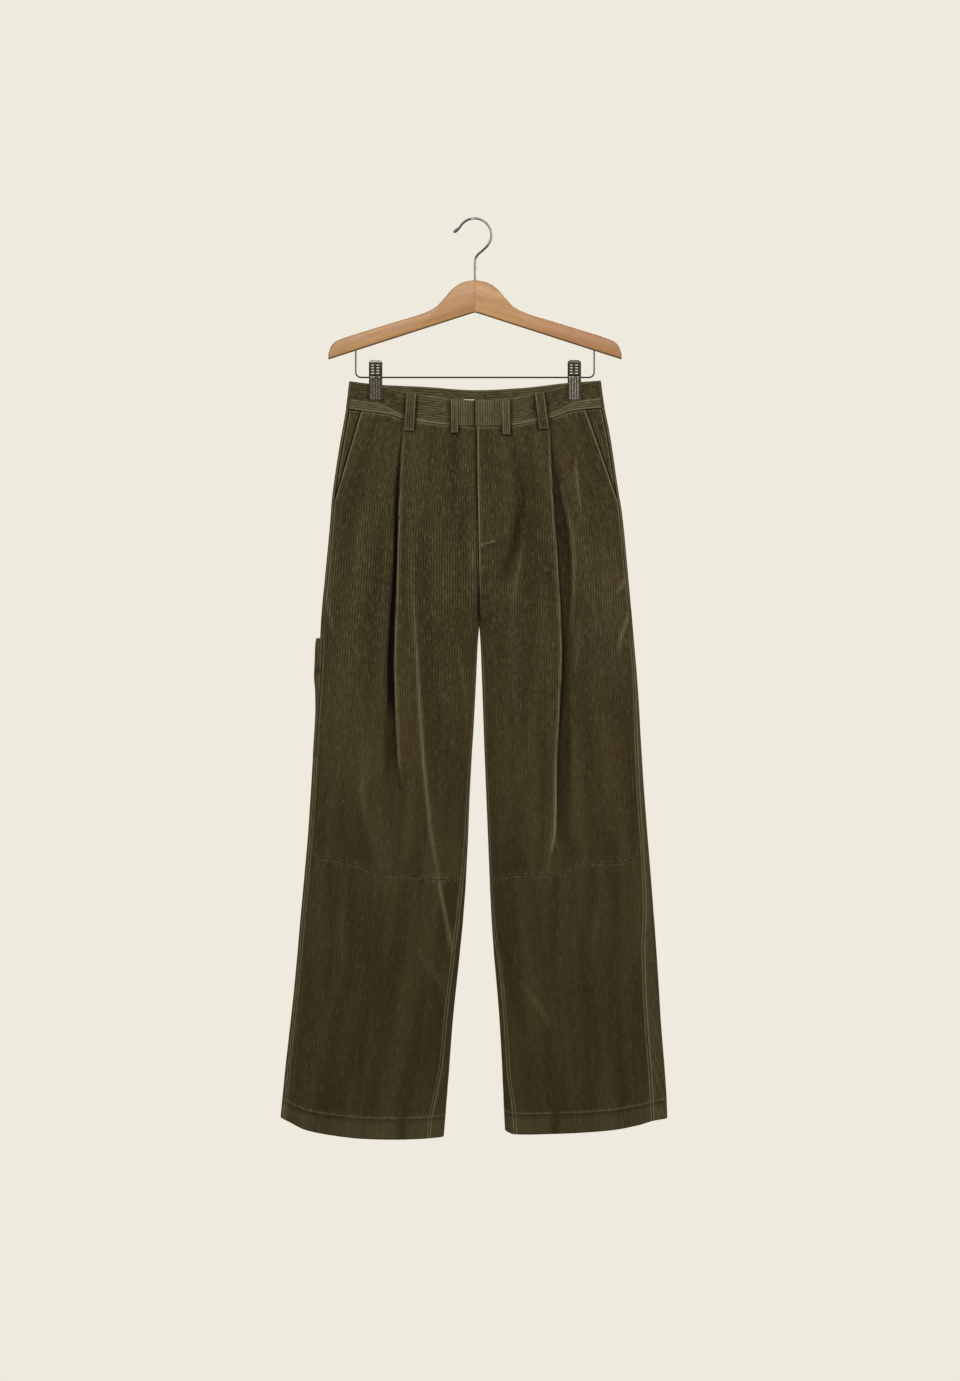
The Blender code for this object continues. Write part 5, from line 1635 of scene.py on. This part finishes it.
def tube(name, path, radii, dark, sides):
    """A closed round tube along a path in the plane Y = 0, and its painted shade along its length."""
    path = np.array(path, float)
    along = np.gradient(path, axis=0)
    along /= np.linalg.norm(along, axis=1, keepdims=True)
    normal = np.stack([along[:, 1], -along[:, 0]], axis=1)
    angle = np.linspace(0, 2 * math.pi, sides, endpoint=False)
    flat = path[:, None] + normal[:, None] * (np.cos(angle)[None, :, None] * radii[:, None, None])
    y = np.sin(angle)[None, :] * radii[:, None]
    made = ringed(name, layers(flat[..., 0], y, flat[..., 1]))
    made.data.set_sharp_from_angle(angle=math.radians(60))
    mark_points(made, "painted_shade", np.repeat(dark, sides))
    return made


def curved(points, pitch):
    """A smooth path through points, evenly spaced."""
    points = np.array(points, float)
    for _ in range(3):
        before, after = points[:-1], points[1:]
        cut = np.stack([0.75 * before + 0.25 * after, 0.25 * before + 0.75 * after], axis=1)
        points = np.concatenate([points[:1], cut.reshape(-1, 2)[1:-1], points[-1:]])
    return spaced(points, pitch)


def add_hook(finish):
    """Straight neck, round hook and a flared tip."""
    centre = HOOK_WIRE - HOOK_RADIUS
    arc = [
        (HOOK_SHIFT + HOOK_RADIUS * math.cos(a), centre + HOOK_RADIUS * math.sin(a))
        for a in np.radians(np.linspace(*HOOK_ARC, 40))
    ]
    neck, flare = ([(x * MM, z * MM) for x, z in part] for part in (HOOK_NECK, HOOK_FLARE))
    path = curved(neck + arc + flare, 1.2 * MM)
    radii = np.full(len(path), HOOK_WIRE)
    radii[-9:] *= np.interp(np.linspace(0, 1, 9), np.linspace(0, 1, len(HOOK_SWELL)), HOOK_SWELL)
    dark = smooth(HOOK_DARK, np.linspace(0, 1, len(path)))
    declare(tube("hook_wire", path, radii, dark, 16), finish, "hanger_hook")


def add_bar(finish):
    """The wire below the arms that carries the clips."""
    slope = (WOOD_APEX - WOOD_TIP[1]) / WOOD_TIP[0]
    top = WOOD_APEX - slope * BAR_AT + 2 * MM
    turn = BAR_HEIGHT + BAR_CORNER
    half = [(BAR_AT, top), (BAR_AT, turn)]
    for angle in np.radians(np.linspace(9, 90, 10)):
        x = BAR_AT - BAR_CORNER + BAR_CORNER * math.cos(angle)
        half.append((x, turn - BAR_CORNER * math.sin(angle)))
    path = np.array(half + [(-x, z) for x, z in half[::-1]])
    dark = BAR_DARK * ease((turn - path[:, 1]) / BAR_CORNER)
    made = tube("bar_wire", path, np.full(len(path), BAR_WIRE), dark, 12)
    declare(made, finish, "hanger_bar")


def clip_lines(windows, axis, span, pitch):
    """Grid lines that meet every window's edges, with others between them."""
    edges = {span[0], span[1]}
    for row in windows:
        edges |= {row[axis] - 0.5 * row[axis + 2], row[axis] + 0.5 * row[axis + 2]}
    edges = sorted(edges)
    lines = []
    for a, b in zip(edges, edges[1:]):
        lines += list(np.linspace(a, b, max(1, round((b - a) / pitch)), endpoint=False))
    return np.array(lines + [edges[-1]])


def clip_marks(side, x, z, ribs):
    """Painted light and shade on a clip's plate: a lit top, lit ribs and a thin lit outline over painted
    shade.
    """
    top = ease((z - CLIP_PROFILE[1][0] * MM) / (0.6 * MM) + 0.5)
    ribbed = ease((CLIP_RIB_SPAN[0] - z) / (1 * MM))
    edge = ease((np.abs(x) - 8.3 * MM) / (0.9 * MM))
    edge = edge * np.where(x < 0, 0.55, 1) * np.maximum(ribbed, 0.6 * (x > 0))
    outline = np.maximum.reduce([edge, ease((CLIP_FOOT - z) / (0.8 * MM)), top])
    # Painted shade over the plate, deepest between the ribs, none on the lit outline
    painted_shade = (0.7 + (0.8 * (1 - ribs) - 0.7) * ribbed) * (1 - outline)
    glints = sum(
        np.exp(-((x - across * MM) ** 2 + (z - height * MM) ** 2) / (1.0 * MM) ** 2)
        for across, height in CLIP_GLINTS
    )
    # Painted highlights on the top edge, the outline, the ribs and the glints
    lit = CLIP_TOP_LIT[side] * top + 0.12 * outline + CLIP_RIBS_LIT[side] * ribs * ribbed + 0.9 * glints
    return np.clip(lit, 0, 1), painted_shade * (1 - np.clip(glints, 0, 1))


def clip_form(side, face):
    """Grid lines (mm) and points of one plate of a clip, and how light and dark each point is."""
    half = 0.5 * CLIP_WIDTH / MM
    xs = clip_lines(CLIP_WINDOWS, 0, (-half, half), 0.8)
    low, high = CLIP_PROFILE[-1][0], CLIP_PROFILE[0][0]
    zs = clip_lines([(w[1], 0, w[3], 0) for w in CLIP_WINDOWS], 0, (low, high), 1.2)
    x, z = np.meshgrid(xs * MM, zs * MM)
    share = smooth([(row[0], 1000 * row[2]) for row in CLIP_PROFILE], z)
    live = ease((CLIP_RIB_SPAN[0] - z) / (1 * MM)) * ease((z - CLIP_RIB_SPAN[1]) / (7 * MM))
    live = live * (1 + 1.6 * bell(z - CLIP_RIB_SPAN[0], 2.4 * MM))
    ribs = sum(bell(x - rib * MM, 0.9 * MM, 4) for rib in CLIP_RIBS)
    past = np.clip((np.abs(x) - (0.5 * CLIP_WIDTH - CLIP_EDGE)) / CLIP_EDGE, 0, 1)
    w = smooth(CLIP_PROFILE, z) + 0.35 * MM * live * ribs
    w = w - CLIP_EDGE * (1 - np.sqrt(1 - 0.93 * past**2))
    points = layers(SIDES[side] * CLIP_AT + x * share, FACES[face] * w, z)
    return xs, zs, points, layers(*clip_marks(side, x, z, ribs))


def in_window(x, z):
    return any(abs(x - v[0]) < 0.5 * v[2] and abs(z - v[1]) < 0.5 * v[3] for v in CLIP_WINDOWS)


def clip_sheet(side, face):
    """One plate of a clip as a bmesh: windows over ribs, edges turned in, and a lip."""
    xs, zs, points, marks = clip_form(side, face)
    mesh = bmesh.new()
    keys = [mesh.verts.layers.float.new(key) for key in MARK_UNIT]
    made = [[mesh.verts.new(place) for place in row] for row in points.tolist()]
    for row, row_marks in zip(made, marks.tolist()):
        for vertex, values in zip(row, row_marks):
            for key, value in zip(keys, values):
                vertex[key] = value
    for r in range(len(zs) - 1):
        for c in range(len(xs) - 1):
            if in_window(0.5 * (xs[c] + xs[c + 1]), 0.5 * (zs[r] + zs[r + 1])):
                continue
            quad = [made[r][c], made[r][c + 1], made[r + 1][c + 1], made[r + 1][c]]
            mesh.faces.new(quad if face == "front" else quad[::-1])
    return mesh


def add_clips(finish):
    for side in SIDES:
        for face in FACES:
            sheet = clip_sheet(side, face)
            bmesh.ops.solidify(sheet, geom=sheet.faces[:], thickness=CLIP_WALL)
            bmesh.ops.delete(sheet, geom=[v for v in sheet.verts if not v.link_faces], context="VERTS")
            mesh = bpy.data.meshes.new(f"clip_{side}_{face}_plate")
            sheet.to_mesh(mesh)
            sheet.free()
            mesh.shade_smooth()
            mesh.set_sharp_from_angle(angle=math.radians(45))
            declare(placed(mesh.name, mesh), finish, f"clip_{side}_{face}")


# Topstitching


def grain(a, b, up, stitch, thread):
    """Points of one grain of thread between two holes."""
    way = b - a
    way /= np.linalg.norm(way)
    up = up - way * up.dot(way)
    up /= np.linalg.norm(up)
    side = np.cross(way, up)
    middle = 0.5 * (a + b)
    points = [middle - way * 0.5 * stitch - up * thread]
    for at, wide, lift in GRAIN:
        base = middle + way * at * stitch + up * lift * thread
        points += [base + side * p * wide * thread + up * q * wide * thread for p, q in GRAIN_RING]
    return points + [middle + way * 0.5 * stitch - up * thread]


def grain_faces(first):
    """Faces of one grain, whose points begin at this number."""
    faces = []
    for k in range(4):
        j = (k + 1) % 4
        faces.append((first, first + 1 + j, first + 1 + k))
        for base in (first + 1, first + 5):
            faces.append((base + k, base + j, base + 4 + j, base + 4 + k))
        faces.append((first + 9 + k, first + 9 + j, first + 13))
    return faces


class Needle:
    """Finds the cloth's outer face, and sews rows of stitches on it."""

    def __init__(self, pieces, finish):
        points, faces = [], []
        for piece in pieces:
            mesh = piece.data
            found = np.zeros(3 * len(mesh.vertices), np.float32)
            mesh.vertices.foreach_get("co", found)
            first = len(points)
            points += found.reshape(-1, 3).tolist()
            faces += [[first + v for v in polygon.vertices] for polygon in mesh.polygons]
        self.tree = BVHTree.FromPolygons(points, faces)
        self.finish = finish

    def holes(self, face, points):
        """Places on the outermost cloth, and its normals there, at points given as X and height."""
        found = []
        for x, z in points:
            start = Vector((float(x), FACES[face] * 0.2, float(z)))
            place, normal, _, _ = self.tree.ray_cast(start, Vector((0, -FACES[face], 0)), 0.4)
            if place is not None:
                found.append((np.array(place), np.array(normal)))
        return found

    def seam(self, face, path):
        """The holes along a row of stitches."""
        return self.holes(face, spaced(path, STITCH_PITCH))

    def tack(self, face, middle, across, tall, count):
        """The holes of a dense bar of thread."""
        return self.holes(face, [
            [m + s * a + (0.5 - k % 2) * t for m, a, t in zip(middle, across, tall)]
            for k, s in enumerate(np.linspace(-0.5, 0.5, count))
        ])

    def sew(self, name, seams, stitch=STITCH, thread=THREAD):
        """One mesh with a grain of thread between each two holes of every row."""
        points, faces = [], []
        for held in seams:
            for (a, up_a), (b, up_b) in zip(held, held[1:]):
                if 1e-6 <= np.linalg.norm(b - a) <= 3 * STITCH_PITCH:
                    faces += grain_faces(len(points))
                    points += grain(a, b, up_a + up_b, stitch, thread)
        declare(mesh_object(name, points, faces), self.finish)


def down_line(side, heights, place, inset):
    """X and height of a line down one half, this far inside a place."""
    return [(SIDES[side] * float(place(z) - inset), float(z)) for z in heights]


def cross_line(side, face, nominal, start, end, count):
    """X and height of a line across one half, along a row."""
    u = np.linspace(start, end, count)
    return layers(SIDES[side] * u, row_heights(side, face, nominal, u))


def sew_legs(needle):
    outseams, hems, pockets, knees = [], [], [], []
    for side in SIDES:
        for inset in OUTSEAM_ROWS:
            heights = np.linspace(POCKET_BOTTOM - 4 * MM, HEM + 14 * MM, 200)
            line = down_line(side, heights, lambda z: outseam_u(side, z), inset)
            outseams.append(needle.seam("front", line))
        for face in FACES:
            ends = inner_u(side, HEM) + 1.5 * MM, outer_u(side, HEM) - 1.5 * MM
            hems.append(needle.seam(face, cross_line(side, face, HEM + HEM_TURN, *ends, 80)))
        for inset in POCKET_ROWS:
            heights = np.linspace(BAND_BOTTOM - 5 * MM, POCKET_BOTTOM - 1 * MM, 30)
            line = down_line(side, heights, lambda z: smooth(POCKET_SLOT[side], z), inset)
            pockets.append(needle.seam("front", line))
        ends = inner_u(side, KNEE) + 3 * MM, outseam_u(side, KNEE) - 3 * MM
        knees.append(needle.seam("front", cross_line(side, "front", KNEE + KNEE_ROW, *ends, 60)))
    needle.sew("outseam_stitches", outseams)
    needle.sew("hem_stitches", hems)
    needle.sew("pocket_stitches", pockets)
    needle.sew("knee_stitches", knees)


def sew_waist(needle):
    x = np.linspace(-BAND_SEWN, BAND_SEWN, 120) * MM
    needle.sew("waistband_stitches", [
        needle.seam(face, layers(x, band_heights(face, x, share))) for face in FACES for share in BAND_ROWS
    ])


def sew_fly(needle):
    middle_x, middle_z = PICTURE_MIDDLE
    path = [((x - middle_x) * PIXEL, (middle_z - z) * PIXEL) for x, z in FLY_STITCH]
    rows = [needle.seam("front", curved(path, 1 * MM))]
    for ends in FLY_EDGE:
        heights = np.linspace(*ends) * MM
        edge = down_line("left", heights, lambda z: centre_u("left", z), FLY_EDGE_OUT)
        rows.append(needle.seam("front", edge))
    needle.sew("fly_stitches", rows)


def sew_tacks(needle):
    rows = []
    for _, face, x_top, x_bottom, width, length, _ in LOOPS:
        for share, x in zip(LOOP_TACKS, (x_top, x_bottom)):
            z = smooth(BAND_TOP[face], x * MM) - share * length * MM
            rows.append(needle.tack(face, (x * MM, z), (0.8 * width * MM, 0), (0, TACK_HEIGHT), 26))
    for *sizes, count in FLY_TACKS:
        rows.append(needle.tack("front", *[(x * MM, z * MM) for x, z in sizes], count))
    for side in SIDES:
        for z in POCKET_TACKS:
            x = SIDES[side] * (smooth(POCKET_SLOT[side], z) - POCKET_TACK_IN)
            rows.append(needle.tack("front", (x, z), (9 * MM, 0), (0, TACK_HEIGHT), 16))
    needle.sew("bar_tacks", rows, *TACK_STITCH)


def sew_tool_pocket(needle):
    x = np.linspace(*TOOL_POCKET_SEWN, 50) * MM
    rows = [needle.seam("back", layers(x, z)) for z in TOOL_POCKET_ROWS]
    needle.sew("tool_pocket_stitches", rows)


# Camera, light and floor


def add_camera():
    data = bpy.data.cameras.new("camera")
    data.lens, data.sensor_width = LENS, SENSOR
    data.clip_start, data.clip_end = 0.05, 60
    camera = placed("camera", data)
    camera.location = (CAMERA_X, -PICTURE_HEIGHT * PIXEL * LENS / SENSOR, CAMERA_Z)
    camera.rotation_euler = (math.radians(90), 0, 0)
    bpy.context.scene.camera = camera


def add_lights():
    for name, place, at, width, power in LIGHTS:
        data = bpy.data.lights.new(name, "AREA")
        data.energy, data.size = power, width
        lamp = placed(name, data)
        lamp.location = place
        lamp.rotation_euler = (Vector(at) - lamp.location).to_track_quat("-Z", "Y").to_euler()


def add_world():
    """A plain cream backdrop behind the part, and a soft room round it that is darker below."""
    world = bpy.data.worlds.new("studio")
    bpy.context.scene.world = world
    world.use_nodes = True
    tree = world.node_tree
    tree.nodes.clear()
    kinds = "OutputWorld MixShader LightPath Background Background TexCoord SeparateXYZ MapRange ValToRGB"
    out, mixer, path, seen, room, way, split, half, ramp = (
        tree.nodes.new("ShaderNode" + kind) for kind in kinds.split()
    )
    seen.inputs[0].default_value = (*BACKDROP, 1)
    room.inputs[1].default_value = ROOM_POWER
    half.inputs[1].default_value = -1
    for element, (at, colour) in zip(ramp.color_ramp.elements, ROOM):
        element.position, element.color = at, colour
    for start, output, end, socket in (
        (way, "Generated", split, 0), (split, 2, half, 0), (half, 0, ramp, 0), (ramp, 0, room, 0),
        (path, "Is Camera Ray", mixer, 0), (room, 0, mixer, 1), (seen, 0, mixer, 2), (mixer, 0, out, 0),
    ):
        tree.links.new(start.outputs[output], end.inputs[socket])
    bpy.context.scene.view_settings.view_transform = "Standard"


def add_floor():
    """A round pale floor below the part, outside the picture."""
    mesh = bpy.data.meshes.new("floor")
    turns = np.linspace(0, 2 * math.pi, 97)[:-1]
    rim = [(FLOOR_RADIUS * math.cos(a), FLOOR_RADIUS * math.sin(a), FLOOR_Z) for a in turns]
    mesh.from_pydata(rim, [], [tuple(range(96))])
    mesh.materials.append(floor_finish())
    placed("floor", mesh)


# Putting the trousers together

UPPER_WALES = 70
LOWER_WALES = 62
BACK_WALES = 73
BAND_WALES = 11
SEEDS = {"right": 1, "left": 5}
# The bar of thread at the fly's end has its own row of points
FLY_TACK_Z = -486.5 * MM
FOLD_ROLL = (1.6 * MM, 0.8 * MM)


def crotch_hold(rows):
    """How much the side edges turn in at each row: hardly where the legs part."""
    return (1 - 0.9 * bell(np.array(rows) - CROTCH, 26 * MM))[:, None]


def add_legs(cord):
    made = []
    for side, seed in SEEDS.items():
        rows = row_list(BAND_BOTTOM + SEAM_TUCK, KNEE - 0.5 * SEAM_TUCK, lines=(FLY_TACK_Z, KNEE + 5 * MM))
        made.append(cloth_shell(
            f"front_{side}", front_grid(side, rows, UPPER_WALES), -1, f"front_upper_{side}",
            [f"waistband_front_{side}"], seed, cord, seams="lrt", faint="b", hold=crotch_hold(rows),
        ))
        rows = row_list(KNEE + 0.5 * SEAM_TUCK, HEM, lines=(KNEE - 5 * MM, HEM + HEM_TURN))
        made.append(cloth_shell(
            f"shin_{side}", front_grid(side, rows, LOWER_WALES), -1, f"front_lower_{side}",
            [f"front_upper_{side}"], seed + 1, cord, inside=hem_inside(rows), seams="lr", faint="t",
        ))
        rows = row_list(BAND_BOTTOM + SEAM_TUCK, HEM, lines=(HEM + HEM_TURN,))
        made.append(cloth_shell(
            f"rear_{side}", back_grid(side, rows, BACK_WALES), 1, f"back_{side}", ["waistband_back"],
            seed + 2, cord, inside=hem_inside(rows), seams="lrt", hold=crotch_hold(rows),
        ))
    return made


def add_pockets(cord):
    made = []
    for side, seed in SEEDS.items():
        rows = row_list(BAND_BOTTOM + SEAM_TUCK, POCKET_BOTTOM - 22 * MM)
        made.append(cloth_shell(
            f"side_piece_{side}", facing_grid(side, rows, 9), -1, f"pocket_facing_{side}",
            [f"waistband_front_{side}"], seed + 10, cord, seams="lt",
        ))
    made.append(cloth_shell(
        "tool_pocket", tool_pocket_grid(row_list(*TOOL_POCKET), 39), 1, "tool_pocket_right",
        ["back_right"], 21, cord, roll=FOLD_ROLL,
    ))
    return made


def add_waistband(cord):
    made = []
    fold = {"wall": BAND_WALL, "roll": FOLD_ROLL}
    half = 0.5 * GAP
    right, middle, left = TAB_RIGHT[0], TAB_RIGHT[1], TAB_LEFT[1]
    for side, first, last, seed in (("right", None, right - half, 31), ("left", left + half, None, 32)):
        made.append(cloth_shell(
            f"band_front_{side}", band_grid(first, last, 42, BAND_WALES), -1, f"waistband_front_{side}",
            [f"clip_{side}_front"], seed, cord, seams="r", **fold,
        ))
    tabs = (("right", right + half, middle - half, 10), ("left", middle + half, left - half, 13))
    for side, first, last, wales in tabs:
        made.append(cloth_shell(
            f"tab_{side}", tab_grid(first, last, 30, wales), -1, f"waist_tab_{side}",
            [f"waistband_front_{side}"], 33, cord, **fold,
        ))
    made.append(cloth_shell(
        "band_back", band_back_grid(110, BAND_WALES), 1, "waistband_back",
        ["clip_right_back", "clip_left_back"], 35, cord, ribs_inside=True, **fold,
    ))
    return made


def add_loops(cord):
    made = []
    for number, (name, face, *sizes) in enumerate(LOOPS):
        side = "right" if sizes[0] < 0 else "left"
        held_by = "waistband_back" if face == "back" else f"waistband_front_{side}"
        made.append(cloth_shell(
            name.replace("belt_loop", "loop"), loop_grid(face, *sizes, 44, 4), FACES[face], name, [held_by],
            40 + number, cord, wall=LOOP_WALL, roll=LOOP_ROLL,
        ))
    return made


def add_label():
    half = 0.5 * LABEL_WALL
    made = shell("woven_label", label_grid(), -1, half, half, LABEL_ROLL, relief=0)
    declare(made, label_finish(), "label")


def add_hanger():
    add_wood(wood())
    add_hook(metal("nickel_plate", (0.50, 0.475, 0.43), 0.42, (60, 60, 60)))
    add_bar(metal("bronze_wire", (0.17, 0.15, 0.118), 0.4, (200, 900, 900)))
    add_clips(metal("bronze_plate", (0.24, 0.205, 0.125), 0.52, (900, 200, 25)))


def add_stitches(cloth):
    needle = Needle(cloth, thread_finish())
    sew_legs(needle)
    sew_waist(needle)
    sew_fly(needle)
    sew_tacks(needle)
    sew_tool_pocket(needle)


add_camera()
add_world()
add_lights()
add_floor()
add_hanger()
cord = corduroy()
cloth = add_legs(cord) + add_pockets(cord) + add_waistband(cord) + add_loops(cord)
add_label()
add_stitches(cloth)
